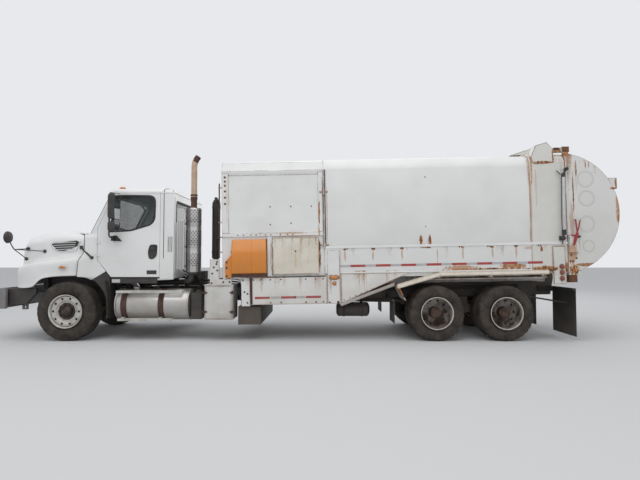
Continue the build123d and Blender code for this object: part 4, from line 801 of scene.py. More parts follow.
# Grille and headlamps: a bright surround with level bars over a black screen, and a lamp unit
# each side with its turn lens. They aren't in the photograph.
grille_y, grille_z = 0.375, (1.135, 1.80)
bright, screen = Shape(), Shape()
outline = [(-grille_y, grille_z[0]), (grille_y, grille_z[0])]
outline += [(grille_y - 0.03, grille_z[1]), (-grille_y + 0.03, grille_z[1])]
bright.tube([(5.766, y, z) for y, z in outline], 0.020, 12, closed=True)
for i in range(9):
    z = grille_z[0] + 0.075 + 0.0645 * i
    reach = grille_y - 0.015 - 0.003 * i
    bright.tube([(5.764, -reach, z), (5.770, 0, z), (5.764, reach, z)], 0.0105, 8, smooth=4)
bright.make("grille_bars", chrome, "hood", "black_trim", replaces=("grille",))
screen.box((5.748, 5.760), (-grille_y, grille_y), grille_z)
for i in range(26):
    y = -grille_y + 0.03 + 0.0276 * i
    screen.box((5.758, 5.764), (y - 0.003, y + 0.003), grille_z)
screen.make("grille_screen", black_plastic, "hood", "black_trim")
lenses, bezels, turns = Shape(), Shape(), Shape()
head_y, turn_y, lamp_z = 0.625, 0.752, 1.209
for _ in both(lenses, bezels, turns):
    for y, wide in ((head_y, 0.075), (turn_y, 0.038)):
        bezels.box((5.725, 5.762), (y - wide - 0.012, y + wide + 0.012), (1.128, 1.290))
    for lens, y, steps in (
        (lenses, head_y, ((5.755, 0.071, 0.068), (5.772, 0.063, 0.060))),
        (turns, turn_y, ((5.755, 0.034, 0.068), (5.770, 0.029, 0.060))),
    ):
        square = ((-1, -1), (1, -1), (1, 1), (-1, 1))
        lens.sweep([[(x, y + a * wide, lamp_z + b * tall) for a, b in square] for x, wide, tall in steps])
bezels.make("lamp_bezels", black_plastic, "hood", "lamp_clear", bevel=0.006)
lenses.make("head_lenses", clear_lens, "hood", "lamp_clear", bevel=0.012, replaces=("headlamps",))
turns.make("turn_lenses", amber, "hood", "lamp_clear", bevel=0.010)

# Bumper: pressed steel painted grey, with a black valance below, a lamp each side and a blank
# plate. The lugs for towing hang below it.
bumper_paint = painted("Bumper grey", (0.24, 0.245, 0.26), (0.16, 0.13, 0.10), 0.5, 0.5, 0.4, low=0.4,
                       high=1.1, patch=5, bump=0.1)
dress(bumper_paint, 0.012, "front_bumper")
fog_lamps, plate, valance = Shape(), Shape(), Shape()
for _ in both(fog_lamps, valance):
    lens = [(0, 0.01), (0, 0.062), (0.012, 0.066), (0.016, 0.058), (0.010, 0.052), (0.016, 0.02),
            (0.018, 0.004)]
    fog_lamps.lathe(lens, (5.916, 0.80, 0.80), "x", 30)
    sheet = [(5.24, 0.995), (5.24, 0.90), (5.42, 0.70), (5.80, 0.66), (5.86, 0.70), (5.86, 0.985)]
    valance.prism(sheet, "y", 1.02, 1.09)
fog_lamps.make("bumper_lamps", clear_lens, "chassis", "lamp_clear")
plate.box((5.922, 5.926), (-0.16, 0.16), (0.69, 0.83))
plate.make("blank_plate", chrome, "chassis", "bumper_paint", bevel=0.002)
valance.make("bumper_valance", black_plastic, "chassis", "black_trim", bevel=0.01)

# Cab: a steel day cab painted like the hood. Its windows sit in black rubber seals, its roof is
# one smooth pressing with five amber markers, and inside are two sprung seats on a dark floor.
glass = painted("Window glass", (0.035, 0.055, 0.050), (0.20, 0.19, 0.16), 0.06, 0, 0.03, patch=4, bump=0,
                coat=0.4)
glass.node_tree.nodes["Principled BSDF"].inputs["Alpha"].default_value = 0.34
seal_rubber = painted("Seal rubber", (0.018, 0.018, 0.019), (0.12, 0.11, 0.09), 0.25, 0, 0.6, bump=0)
cab_trim = painted("Cab trim", (0.07, 0.072, 0.078), (0.16, 0.15, 0.13), 0.3, 0, 0.7, bump=0.05)
silver_glass = painted("Mirror glass", (0.75, 0.77, 0.78), (0.4, 0.4, 0.38), 0.1, 0, 0.03, bump=0,
                       metallic=1.0)
dress(cab_paint, 0.007, "cab_front", "cab_rear_wall", "door_left", "door_right")
dress(frame_paint, 0.004, "cab_floor")
dress(black_plastic, 0.007, "dashboard")
dress(glass, 0, "cab_glass", "door_glass_left", "door_glass_right")
cab_half, cab_rear = 1.03, 2.629


def rounded(points, radius, steps=5):
    """An outline with its corners rounded off."""
    made = []
    for i, at in enumerate(points):
        at, before, after = Vector(at), Vector(points[i - 1]), Vector(points[(i + 1) % len(points)])
        start = at + (before - at).normalized() * min(radius, (before - at).length * 0.45)
        end = at + (after - at).normalized() * min(radius, (after - at).length * 0.45)
        for t in (k / steps for k in range(steps + 1)):
            made.append(start * (1 - t) ** 2 + at * 2 * t * (1 - t) + end * t * t)
    return made


def inset(points, depth):
    """An outline moved inward by depth."""
    points = [Vector(p) for p in points]
    area = sum(p.x * q.y - q.x * p.y for p, q in zip(points, points[1:] + points[:1]))
    turn = 1 if area > 0 else -1
    made = []
    for i, at in enumerate(points):
        one = (at - points[i - 1]).normalized()
        two = (points[(i + 1) % len(points)] - at).normalized()
        n1, n2 = Vector((-one.y, one.x)) * turn, Vector((-two.y, two.x)) * turn
        made.append(at + (n1 + n2) * depth / (1 + n1.dot(n2)))
    return made


def border(shape, points, out, into, radius, low, high, place):
    """A ring along an outline, from out of it to inside it; place turns (a, b, depth) into a point."""
    outer, inner = rounded(inset(points, -out), radius), rounded(inset(points, into), radius)
    loops = ((outer, low), (outer, high), (inner, high), (inner, low))
    return shape.sweep([[place(a, b, depth) for a, b in line] for line, depth in loops], closed=True)


def screen_point(y, along, depth):
    """A point of the curved windscreen: across, up along its slope, and behind its face."""
    lean = 0.49
    size = hypot(1, lean)
    sink = depth - 0.110 * (1 - (y / cab_half) ** 2)
    return Vector((4.245 - (lean * along + sink) / size, y, 2.040 + (along - lean * sink) / size))


roof, gutter = Shape(), Shape()
edge_steps = [0, 0.003, 0.010, 0.022, 0.040, 0.062, 0.09, 0.13, 0.18, 0.24, 0.32, 0.42]
rows = []
roof_rows = [d - cab_half for d in edge_steps] + [-0.45, -0.2, 0, 0.2, 0.45]
for across in roof_rows + [cab_half - d for d in edge_steps[::-1]]:
    front = 3.848 + 0.105 * (1 - (across / cab_half) ** 2)
    row = []
    for x in [cab_rear + d for d in edge_steps] + [3.15, 3.30, 3.42] + [front - d for d in edge_steps[::-1]]:
        dx, dy = min(x - cab_rear, front - x), cab_half - abs(across)
        fall = max(0, 1 - dx / 0.085) ** 2 + max(0, 1 - dy / 0.085) ** 2
        swell = sin(pi / 2 * clamp((x - 2.70) / 0.25)) * sin(pi / 2 * clamp((3.80 - x) / 0.5))
        swell *= clamp((0.90 - abs(across)) / 0.16)
        row.append((x, across, 2.868 + 0.068 * max(0, 1 - fall) ** 0.5 + 0.05 * swell))
    rows.append(row)
rows = roof.net(rows)
edge = rows[0] + [r[-1] for r in rows[1:]] + rows[-1][-2::-1] + [r[0] for r in rows[-2:0:-1]]
sill = [roof.bm.verts.new((v.co.x, v.co.y, 2.850)) for v in edge]
for i in range(len(edge)):
    j = (i + 1) % len(edge)
    roof.bm.faces.new((edge[i], edge[j], sill[j], sill[i]))
roof.bm.faces.new(sill)
roof.make("roof_skin", cab_paint, "chassis", "white_paint", smooth=50, replaces=("cab_roof",))
for _ in both(gutter):
    gutter.tube([(cab_rear, 1.032, 2.852), (3.60, 1.032, 2.852), (3.85, 1.022, 2.842)], 0.009, 8, smooth=4)
gutter.tube([(cab_rear - 0.002, -cab_half, 2.852), (cab_rear - 0.002, cab_half, 2.852)], 0.009, 8)
gutter.make("roof_gutter", cab_paint, "chassis", "white_paint")
markers, feet = Shape(), Shape()
for y, x, z in (
    (0.90, 3.70, 2.936), (-0.90, 3.70, 2.936), (0.22, 3.76, 2.946), (0, 3.765, 2.946), (-0.22, 3.76, 2.946),
):
    for shape, size, up in ((feet, 1.15, 0.012), (markers, 1.0, 0.046)):
        rings = []
        for rise, scale in ((-0.01, 1), (up * 0.55, 1), (up * 0.85, 0.8), (up, 0.45)):
            long, wide, lean = size * scale * 0.062, size * scale * 0.027, size * scale * 0.012 * rise / up
            angles = [pi * k / 12 for k in range(24)]
            rings.append([(x + long * cos(a) - lean, y + wide * sin(a), z + rise) for a in angles])
        shape.sweep(rings)
markers.make("roof_markers", amber, "chassis", "lamp_clear")
feet.make("roof_marker_feet", black_plastic, "chassis", "lamp_clear")

# windscreen seal, wipers and the slotted cowl under them
screen_edge = [(-0.90, 0.075), (0.90, 0.075), (0.90, 0.807), (-0.90, 0.807)]
fine_edge = []
for (a, b), (c, d) in zip(screen_edge, screen_edge[1:] + screen_edge[:1]):
    fine_edge += [(a + (c - a) * t / 8, b + (d - b) * t / 8) for t in range(1, 8)]
seal, tray = Shape(), Shape()
seal.tube([screen_point(a, b, 0.006) for a, b in fine_edge], 0.021, 10, closed=True, smooth=2)
for y in (0.12, -0.70):
    arm = [screen_point(y, -0.03, 0.03), screen_point(y, 0.015, -0.03), screen_point(y + 0.36, 0.165, -0.035)]
    seal.tube(arm, 0.009, 8)
    blade = [screen_point(y + a, 0.135 + 0.09 * a, -0.012) for a in (0.04, 0.22, 0.40, 0.58, 0.70)]
    seal.tube(blade, 0.010, 6, smooth=3)
seal.make("screen_seal", seal_rubber, "chassis", "black_trim")
rings = []
for y in (-0.90, -0.80, -0.70, -0.59, -0.3, 0, 0.3, 0.59, 0.70, 0.80, 0.90):
    reach = min(1, (0.90 - abs(y)) / 0.31) ** 0.8
    tip, top = 4.37 + 0.33 * reach, 2.025 + 0.055 * reach
    section = [(4.16, 2.02), (4.28, 2.022), (tip, top), (tip + 0.02, top - 0.02), (tip, top - 0.06)]
    rings.append([(x, y, z) for x, z in section + [(4.28, 1.97), (4.16, 1.985)]])
tray.sweep(rings)
for i in range(9):
    y = -0.48 + 0.12 * i
    tray.box((4.34, 4.60), (y - 0.02, y + 0.02), (2.040, 2.068))
tray.make("cowl_tray", black_plastic, "chassis", "black_trim", bevel=0.004)

# quarter panels: one sheet each side carries the hood's fender line back to the door
quarter_foot = ((3.940, 1.316), (4.211, 1.150), (4.300, 1.190), (4.360, 1.205), (4.450, 1.214))
levels = [2.036, 1.96, 1.88, 1.80, 1.74] + [1.70 - 0.04 * i for i in range(13)] + [1.14]
for side, hand in hands:
    quarter, strip = Shape(), Shape(side)
    rows, seam = [], []
    for level in levels:
        row = []
        for t in (j / 16 for j in range(17)):
            z = level
            for _ in range(3):
                start = 4.114 if z > 1.543 else 3.868 + 0.243 * max(0, z - 1.226) / 0.311
                start = max(start, 3.944)
                x = start + (seam_shift(hood_rear_x, z) - 0.009 - start) * t
                foot = 0
                for (x0, z0), (x1, z1) in zip(quarter_foot, quarter_foot[1:]):
                    if x0 <= x <= x1 + 0.02:
                        foot = z0 + (z1 - z0) * (x - x0) / (x1 - x0)
                z = max(level, foot)
            swell = clamp((x - 4.03) / 0.37) ** 1.7 * clamp((1.70 - z) / 0.16)
            out = between(hood_stations, max(4.24, x), 6) + 0.004
            row.append((x, side * (1.0325 + (out - 1.0325) * swell), z))
        rows.append(row)
        x, y, z = row[-1]
        seam.append((x + 0.004, side * y - 0.012, z))
    quarter.net(rows)
    bmesh.ops.remove_doubles(quarter.bm, verts=quarter.bm.verts, dist=0.0005)
    made = quarter.make(f"quarter_fender_{hand}", cab_paint, "chassis", "white_paint", smooth=50)
    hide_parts("cab_fenders")
    thick = made.modifiers.new("thick", "SOLIDIFY")
    thick.thickness = 0.014
    thick.offset = -side
    strip.tube(seam, 0.012, 8)
    strip.tube([screen_point(1.012, 0.02 + 0.1 * i, 0.0) for i in range(9)], 0.013, 8)
    strip.make(f"hood_seam_{hand}", seal_rubber, "chassis", "black_trim")

# doors: window seals, sunk handles, a small blank plate, trim panels and mirrors
door_window = [
    (3.909, 2.083), (3.466, 2.105), (3.070, 2.225), (3.000, 2.330), (2.992, 2.720), (3.060, 2.790),
    (3.700, 2.800),
]
handle_cup = [(3.092, 1.838), (2.942, 1.838), (2.952, 1.622), (3.020, 1.549), (3.108, 1.558), (3.130, 1.70)]
handle_cup, cup_x, cup_z = rounded(handle_cup, 0.045), 3.034, 1.697
mirror_post = [(1.034, 1.985), (1.15, 1.972), (1.245, 1.985), (1.271, 2.06), (1.271, 2.40), (1.271, 2.74)]
mirror_post += [(1.245, 2.81), (1.15, 2.826), (1.034, 2.818)]
cab_joint = [(2.825, 1.0315, 1.57), (2.825, 1.0315, 2.2), (2.825, 1.0315, 2.84), (2.822, 1.02, 2.90)]
cab_joint += [(2.81, 0.995, 2.925), (2.74, 0.99, 2.925), (2.67, 1.0, 2.90), (2.640, 1.015, 2.845)]
shell_steps = ((0.150, 0.55), (0.142, 0.74), (0.115, 0.90), (0.06, 0.985), (0.0, 1.0), (-0.004, 0.97),
               (0.004, 0.93))
for side, hand in hands:
    body = f"door_{hand}"
    seal, dark, crease, panel, arms, slots, patch = (Shape(side) for _ in range(7))
    border(seal, door_window, 0.012, 0.022, 0.075, 0.978, 1.035, lambda a, b, y: (a, y, b))
    seal.make(f"window_seal_{hand}", seal_rubber, body, "black_trim", bevel=0.004, smooth=30)
    rings = []
    for scale, y in ((1.0, 1.028), (1.0, 1.037), (0.90, 1.039), (0.80, 1.0325), (0.02, 1.0325)):
        rings.append([(cup_x + (a - cup_x) * scale, y, cup_z + (b - cup_z) * scale) for a, b in handle_cup])
    dark.sweep(rings)
    dark.box((2.975, 3.090), (1.032, 1.047), (1.735, 1.79))
    dark.tube([(3.034, 1.033, 1.625), (3.034, 1.043, 1.625)], 0.017, 16)
    dark.box((2.955, 3.145), (1.029, 1.034), (1.2625, 1.3375))
    dark.make(f"door_handle_{hand}", black_plastic, body, "black_trim", bevel=0.003)
    crease.tube([(2.915, 1.0275, 1.512), (4.06, 1.0275, 1.512)], 0.0055, 8)
    crease.make(f"door_crease_{hand}", cab_paint, body, "white_paint")
    panel.box((2.955, 3.99), (0.962, 0.984), (1.26, 2.05))
    panel.box((3.05, 3.60), (0.90, 0.964), (1.80, 1.86))
    panel.make(f"door_panel_{hand}", cab_trim, body, "black_trim", bevel=0.012)
    post_x, post_y = 3.779, 1.271
    arms.tube([(post_x, y, z) for y, z in mirror_post], 0.0145, 12, smooth=5)
    arms.prism([(3.635, 1.905), (3.80, 1.905), (3.80, 2.01), (3.74, 2.015)], "y", 1.029, 1.052)
    arms.prism([(3.76, 1.905), (3.80, 1.905), (3.80, 2.0), (3.77, 2.0)], "y", 1.05, 1.14)
    arms.box((3.75, 3.81), (1.029, 1.050), (2.785, 2.84))
    for z in (2.36, 2.74, 2.13, 2.23):
        arms.tube([(post_x, post_y, z), (3.73, 1.285, z)], 0.011, 8)
        arms.tube([(post_x, post_y, z - 0.02), (post_x, post_y, z + 0.02)], 0.021, 12)
    for x, z in ((3.705, 1.93), (3.705, 1.97), (3.78, 2.80)):
        arms.bolt((x, 1.052, z), 0.008)
    arms.make(f"mirror_arms_{hand}", black_plastic, body, "black_trim", bevel=0.002)
    for name, low, high, half in (("tall", 2.305, 2.805, 0.105), ("convex", 2.088, 2.268, 0.095)):
        shell, face = Shape(side), Shape(side)
        middle_z = (low + high) / 2
        outline = rounded([(-half, low), (half, low), (half, high), (-half, high)], 0.045)
        for shape, steps in ((shell, shell_steps), (face, ((0.004, 0.93), (0.001, 0.925)))):
            rings = []
            for back, scale in steps:
                tall = 1 - (1 - scale) * 0.45
                rings.append([
                    (3.618 + back + 0.10 * a * scale, 1.290 + a * scale, middle_z + (b - middle_z) * tall)
                    for a, b in outline
                ])
            shape.sweep(rings)
        made = shell.make(f"mirror_{name}_{hand}", black_plastic, body, "black_trim", smooth=50)
        if name == "tall":
            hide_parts(f"mirror_{hand}")
        face.make(f"mirror_{name}_glass_{hand}", silver_glass, body, "black_trim")
    slots.tube(cab_joint, 0.006, 6, smooth=3)
    for x in (2.665, 2.70, 2.735):
        slots.box((x - 0.006, x + 0.006), (1.0295, 1.0315), (1.69, 1.99))
    slots.box((2.95, 3.83), (0.985, 1.015), (1.085, 1.182))
    slots.make(f"cab_slots_{hand}", black_plastic, "chassis", "black_trim")
    patch.box((3.665, 3.825), (1.014, 1.018), (1.10, 1.165))
    patch.make(f"sill_patch_{hand}", clear_lens, "chassis", "lamp_clear")

# rear wall of the cab with its window seal and pressed ribs, and the lining inside
seal, ribs, lining = Shape(), Shape(), Shape()
rear_window = [(-0.88, 2.29), (0.88, 2.29), (0.88, 2.70), (-0.88, 2.70)]
border(seal, rear_window, 0.014, 0.024, 0.07, cab_rear - 0.006, 2.686, lambda a, b, x: (x, a, b))
seal.make("rear_window_seal", seal_rubber, "chassis", "black_trim", bevel=0.003, smooth=30)
for z in (1.55, 1.80, 2.05):
    ribs.tube([(cab_rear + 0.004, -0.92, z), (cab_rear + 0.004, 0.92, z)], 0.014, 8)
for _ in both(ribs):
    ribs.tube([(cab_rear + 0.006, 0.965, 1.30), (cab_rear + 0.006, 0.965, 2.78)], 0.016, 10)
ribs.make("rear_wall_ribs", cab_paint, "chassis", "white_paint")
lining.box((2.70, 3.83), (-0.965, 0.965), (2.806, 2.85))
lining.box((2.679, 2.70), (-0.965, 0.965), (1.25, 2.255))
lining.box((2.72, 4.02), (-0.93, 0.93), (1.231, 1.243))
lining.make("cab_lining", cab_trim, "chassis", "black_trim", bevel=0.01)
seat_cloth = painted("Cushion cloth", (0.045, 0.047, 0.055), (0.16, 0.14, 0.11), 0.35, 0, 0.9, patch=8,
                     bump=0.25)


def cushion(name, centre, size, lean):
    """A crowned pad: a block whose faces swell and whose corners are drawn in."""
    rings = []
    for i in range(15):
        v = pi * (i + 0.35) / 14.7 - pi / 2
        ring = []
        for u in (2 * pi * k / 36 for k in range(36)):
            girth = cos(v) ** 0.45
            point = (
                (girth * abs(cos(u)) ** 0.38, cos(u)), (girth * abs(sin(u)) ** 0.38, sin(u)),
                (abs(sin(v)) ** 0.55, sin(v)),
            )
            halves = ((reach / 2 if way > 0 else -reach / 2) for reach, way in point)
            ring.append(Vector([half * s for half, s in zip(halves, size)]))
        rings.append(ring)
    turn = Matrix.Translation(centre) @ Matrix.Rotation(lean, 4, "Y")
    pad = Shape().sweep([[turn @ p for p in ring] for ring in rings])
    made = pad.make(name, seat_cloth, "chassis", "seat_cloth", smooth=70)
    piping = Shape().tube([turn @ (p * 1.004) for p in rings[7]], 0.005, 6, closed=True)
    piping.make(f"{name}_piping", black_plastic, "chassis", "seat_cloth")
    return made


bases = Shape()
for side, hand in hands:
    y = side * 0.525
    bases.box((2.99, 3.29), (y - 0.19, y + 0.19), (1.232, 1.30))
    for i in range(5):
        nip, rise = 0.004 * (i % 2), 0.034 * i
        bases.box((2.995 + nip, 3.285 - nip), (y - 0.18, y + 0.18), (1.30 + rise, 1.332 + rise))
    bases.box((2.95, 3.33), (y - 0.21, y + 0.21), (1.468, 1.492))
    seat = cushion(f"seat_cushion_{hand}", (3.165, y, 1.572), (0.50, 0.48, 0.155), -0.05)
    if side > 0:
        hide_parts("seats")
    cushion(f"seat_back_{hand}", (2.865, y, 1.90), (0.125, 0.46, 0.58), -0.16)
    cushion(f"headrest_{hand}", (2.795, y, 2.262), (0.09, 0.27, 0.13), -0.12)
bases.make("seat_bases", black_plastic, "chassis", "seat_cloth", bevel=0.006)

# Fuel tank and steps: a satin aluminium drum held by two rusty straps with light step bars, and
# next to it a square black tank; an air tank hangs further back under the body.
tank_metal = painted("Tank aluminium", (0.56, 0.55, 0.53), (0.25, 0.19, 0.14), 0.26, 0, 0.26, low=0.4,
                     high=1.0, patch=4, metallic=0.75, bump=0.1, runs=((-0.30, 0.25, 0.42, 7.0),))
strap_rust = painted("Strap rust", (0.115, 0.055, 0.038), (0.05, 0.03, 0.025), 0.7, 0, 0.75, patch=10,
                     bump=0.4)
step_metal = painted("Step aluminium", (0.72, 0.72, 0.70), (0.25, 0.2, 0.15), 0.45, 0.2, 0.4, patch=6,
                     metallic=0.5, bump=0.1)


def drum(shape, centre, half, steps):
    """A closed drum along the truck; half is the profile of one end, from its middle outward."""
    shape.lathe([(-along, r) for along, r in half] + list(half[::-1]), centre, "x", steps)


def band(shape, centre, axis, start, end, inner, outer, steps):
    """A flat ring round a drum or a pipe."""
    shape.lathe([(start, inner), (start, outer), (end, outer), (end, inner)], centre, axis, steps,
                closed=True)


tank_y, tank_z, air_y, air_z = 0.850, 0.671, 0.700, 0.555
tank, straps, steps, blacks = (Shape() for _ in range(4))
tank_end = ((0.717, 0.01), (0.716, 0.20), (0.700, 0.262), (0.690, 0.284), (0.664, 0.300))
drum(tank, (3.01, tank_y, tank_z), tank_end, 64)
weld = [(-0.012, 0.296), (-0.008, 0.3035), (0.008, 0.3035), (0.012, 0.296)]
for x in (2.318, 3.702):
    tank.lathe(weld, (x, tank_y, tank_z), "x", 64, closed=True)
tank.tube([(3.36, 0.93, 0.94), (3.36, 0.945, 1.005)], 0.052, 24)
tank.tube([(3.36, 0.945, 0.995), (3.36, 0.949, 1.02)], 0.062, 24)
tank.make("fuel_tank", tank_metal, "chassis", "tank_aluminium", smooth=35, replaces=("side_tanks",))
bracket = [(rail_y, 0.571), (0.62, 0.571), (0.56, 0.86), (rail_y, 0.91)]
for x in (2.830, 3.540):
    band(straps, (x, tank_y, tank_z), "x", -0.055, 0.055, 0.301, 0.3075, 64)
    straps.box((x - 0.03, x + 0.03), (rail_y, 0.66), (0.571, 0.60))
    straps.prism(bracket, "x", x - 0.05, x + 0.05)
    straps.bolt((x, 1.13, 0.80), 0.016, 0.02, (0, 1, 0.6))
    for _ in both(steps):
        for z in ((0.905, 0.950), (0.400, 0.450)):
            steps.box((x - 0.022, x + 0.022), (1.06, 1.172), z)
for side in both(steps):
    for x0, x1, z in ((2.411, 3.669, 0.922), (2.608, 3.634, 0.393)):
        if side < 0:
            x0, x1 = 2.608, 3.634
        for y in (1.176, 1.128, 1.080, 1.032):
            steps.box((x0, x1), (y - 0.011, y), (z, z + 0.030))
        steps.box((x0, x1), (1.170, 1.184), (z - 0.012, z + 0.034))
        for i in range(int((x1 - x0) / 0.036)):
            x = x0 + 0.02 + 0.036 * i
            steps.box((x - 0.006, x + 0.006), (1.021, 1.172), (z + 0.012, z + 0.024))
steps.make("steps", step_metal, "chassis", "tank_aluminium", bevel=0.002)
blacks.box((2.062, 2.260), (0.705, 1.088), (0.402, 0.900))
blacks.box((2.10, 2.22), (0.86, 0.98), (0.90, 0.925))
blacks.tube([(2.16, 0.92, 0.90), (2.16, 0.92, 0.952)], 0.045, 20)
blacks.box((2.08, 2.18), (rail_y, 0.71), (0.720, 0.860))
for z in (0.50, 0.65, 0.80):
    blacks.box((2.058, 2.264), (0.70, 1.092), (z - 0.012, z + 0.012))
drum(blacks, (-0.870, air_y, air_z), ((0.333, 0.01), (0.330, 0.075), (0.312, 0.118), (0.285, 0.140)), 40)
for x in (-1.050, -0.690):
    blacks.box((x - 0.02, x + 0.02), (rail_y, 0.60), (0.68, 0.72))
    blacks.tube([(x, 0.55, 0.70), (x, 0.60, 0.672)], 0.014, 8)
    band(straps, (x, air_y, air_z), "x", -0.022, 0.022, 0.141, 0.146, 40)
    straps.box((x - 0.02, x + 0.02), (0.50, 0.60), (0.62, 0.85))
blacks.make("fluid_tank", black_plastic, "chassis", "frame_black", bevel=0.010)
straps.make("tank_straps", strap_rust, "chassis", "tank_aluminium", bevel=0.002)
dress(black_plastic, 0.012, "battery_box")
lid = Shape()
lid.box((2.550, 3.570), (-1.128, -0.552), (0.905, 0.938))
for x in (2.75, 3.06, 3.37):
    lid.box((x - 0.012, x + 0.012), (-1.134, -1.120), (0.47, 0.90))
for x in (2.90, 3.22):
    lid.box((x - 0.03, x + 0.03), (-1.145, -1.12), (0.85, 0.915))
lid.make("battery_lid", black_plastic, "chassis", "frame_black", bevel=0.008)

# Exhaust: a silencer in a diamond-pressed bright guard, a second narrow guard ahead of it, and a
# rusty pipe with two clamps whose tip bends back.
guard_metal = painted("Guard chrome", (0.60, 0.59, 0.575), (0.15, 0.12, 0.10), 0.10, 0, 0.16, low=1.2,
                      high=2.6, patch=5, metallic=0.85, bump=0)
pipe_rust = painted("Pipe rust", (0.60, 0.44, 0.32), (0.20, 0.11, 0.07), 0.4, 0, 0.45, low=2.5, high=2.6,
                    patch=9, bump=0.2, metallic=0.2)
# Painted reflection: the guard's colour is darkened where its face turns toward the front, and where it turns
# far to the back, standing in for dark surroundings mirrored in the bright metal.
g = Graph(guard_metal.node_tree)
guard_colour = guard_metal.node_tree.nodes["Principled BSDF"].inputs["Base Color"]
facing = g.part(g.node("NewGeometry", {}).outputs["Normal"], "X")
dark = g.times(g.most(g.ramp(facing, 0.10, 0.24), g.ramp(facing, -0.72, -0.84)), 0.75)
g.fill(guard_colour, g.tint(dark, guard_colour.links[0].from_socket, (0.10, 0.085, 0.075, 1)))
stack_x, stack_y, guard_z, guard_pitch, hole_reach = 2.278, 0.900, 1.30, 0.418, 0.1478
guard, holes = Shape(), Shape()
profile = [(0, 0.127), (0.002, 0.142)]
rib = ((0.09, 0.143), (0.10, 0.147), (0.40, 0.147), (0.41, 0.143))
for i in range(3):
    profile += [(guard_pitch * i + rise, r) for rise, r in rib]
guard.lathe(profile + [(1.253, 0.142), (1.255, 0.127)], (stack_x, stack_y, guard_z), "z", 64)
guard.make("exhaust_guard", guard_metal, "chassis", "exhaust_steel", smooth=60, replaces=("exhaust_stack",))


def diamond(across, up, place):
    """A black face where the guard is pierced, painted shade of the hole; place turns the steps across and up
    into a point.
    """
    corners = ((-across, 0), (0, -up), (across, 0), (0, up))
    holes.bm.faces.new([holes.bm.verts.new(place(a, b)) for a, b in corners])


# Black diamonds stand for the guard's holes; their black is painted shade.
for i in range(34):
    z = guard_z + 0.020 + 0.037 * i
    if not 0.118 < (z - guard_z) % guard_pitch < 0.382:
        continue
    for a in (2 * pi * (k + 0.5 * (i % 2)) / 16 for k in range(16)):
        if cos(a - 1.3) > -0.45:
            diamond(0.115, 0.017, lambda turn, rise: (
                stack_x + hole_reach * cos(a + turn), stack_y + hole_reach * sin(a + turn), z + rise))
for i in range(22):
    for k in range(3):
        x, z = 2.482 + 0.032 * k, 1.385 + 0.042 * i + 0.021 * (k % 2)
        diamond(0.011, 0.0125, lambda along, rise: (x + along, 0.9925, z + rise))
holes.make("guard_holes", black_plastic, "chassis", "exhaust_steel")
narrow, pipe, soot, mount = (Shape() for _ in range(4))
narrow.prism([(2.435, 0.985), (2.445, 0.86), (2.56, 0.84), (2.585, 0.865), (2.585, 0.985)], "z", 1.36, 2.33)
narrow.box((2.465, 2.562), (0.984, 0.9915), (1.37, 2.32))
for z in (1.42, 1.80, 2.25):
    narrow.box((2.36, 2.46), (0.87, 0.90), (z - 0.02, z + 0.02))
narrow.make("exhaust_side_guard", guard_metal, "chassis", "exhaust_steel", bevel=0.006)
run = ((stack_x, 2.53), (stack_x, 2.78), (stack_x, 3.25), (2.276, 3.40), (2.255, 3.50), (2.205, 3.575))
pipe.tube([(x, stack_y, z) for x, z in run], 0.057, 28, smooth=6)
pipe.make("exhaust_pipe", pipe_rust, "chassis", "exhaust_steel", smooth=50)
collars = ((2.58, 0.155, 0.050, 0.0595), (2.735, 0.045, 0.060, 0.067), (2.80, 0.03, 0.060, 0.069))
for z, end, inner, outer in collars:
    band(soot, (stack_x, stack_y, z), "z", 0, end, inner, outer, 28)
soot.tube([(stack_x, 0.80, 2.757), (stack_x, 0.835, 2.757)], 0.010, 8)
tip = ((2.262, 3.478), (2.238, 3.533), (2.198, 3.585))
soot.tube([(x, stack_y, z) for x, z in tip], [0.0578, 0.0585, 0.0585], 28)
soot.tube([(2.21, stack_y, 3.568), (2.195, stack_y, 3.592)], 0.046, 24)
soot.lathe([(0, 0.01), (0, 0.075), (0.03, 0.06), (0.035, 0.01)], (stack_x, stack_y, 2.555), "z", 28)
soot.make("exhaust_clamps", strap_rust, "chassis", "exhaust_steel", bevel=0.001)
mount.box((2.20, 2.356), (rail_y, 0.99), (1.258, 1.298))
mount.box((2.20, 2.258), (rail_y, 0.492), (0.830, 1.27))
mount.prism([(0.49, 1.258), (0.85, 1.258), (0.49, 0.95)], "x", 2.21, 2.222)
# A black block behind the bracket, between the cab and the body, is painted shade: it darkens the gaps there.
mount.box((2.20, 2.56), (0.05, 0.30), (1.00, 1.30))
feed = [(2.30, 0.90, 1.30), (2.33, 0.88, 1.16), (2.45, 0.72, 1.10), (2.62, 0.50, 1.09), (3.4, 0.36, 1.05)]
mount.tube(feed, 0.052, 20, smooth=6)
mount.make("exhaust_mount_and_shade_block", frame_paint, "chassis", "frame_black", bevel=0.003)

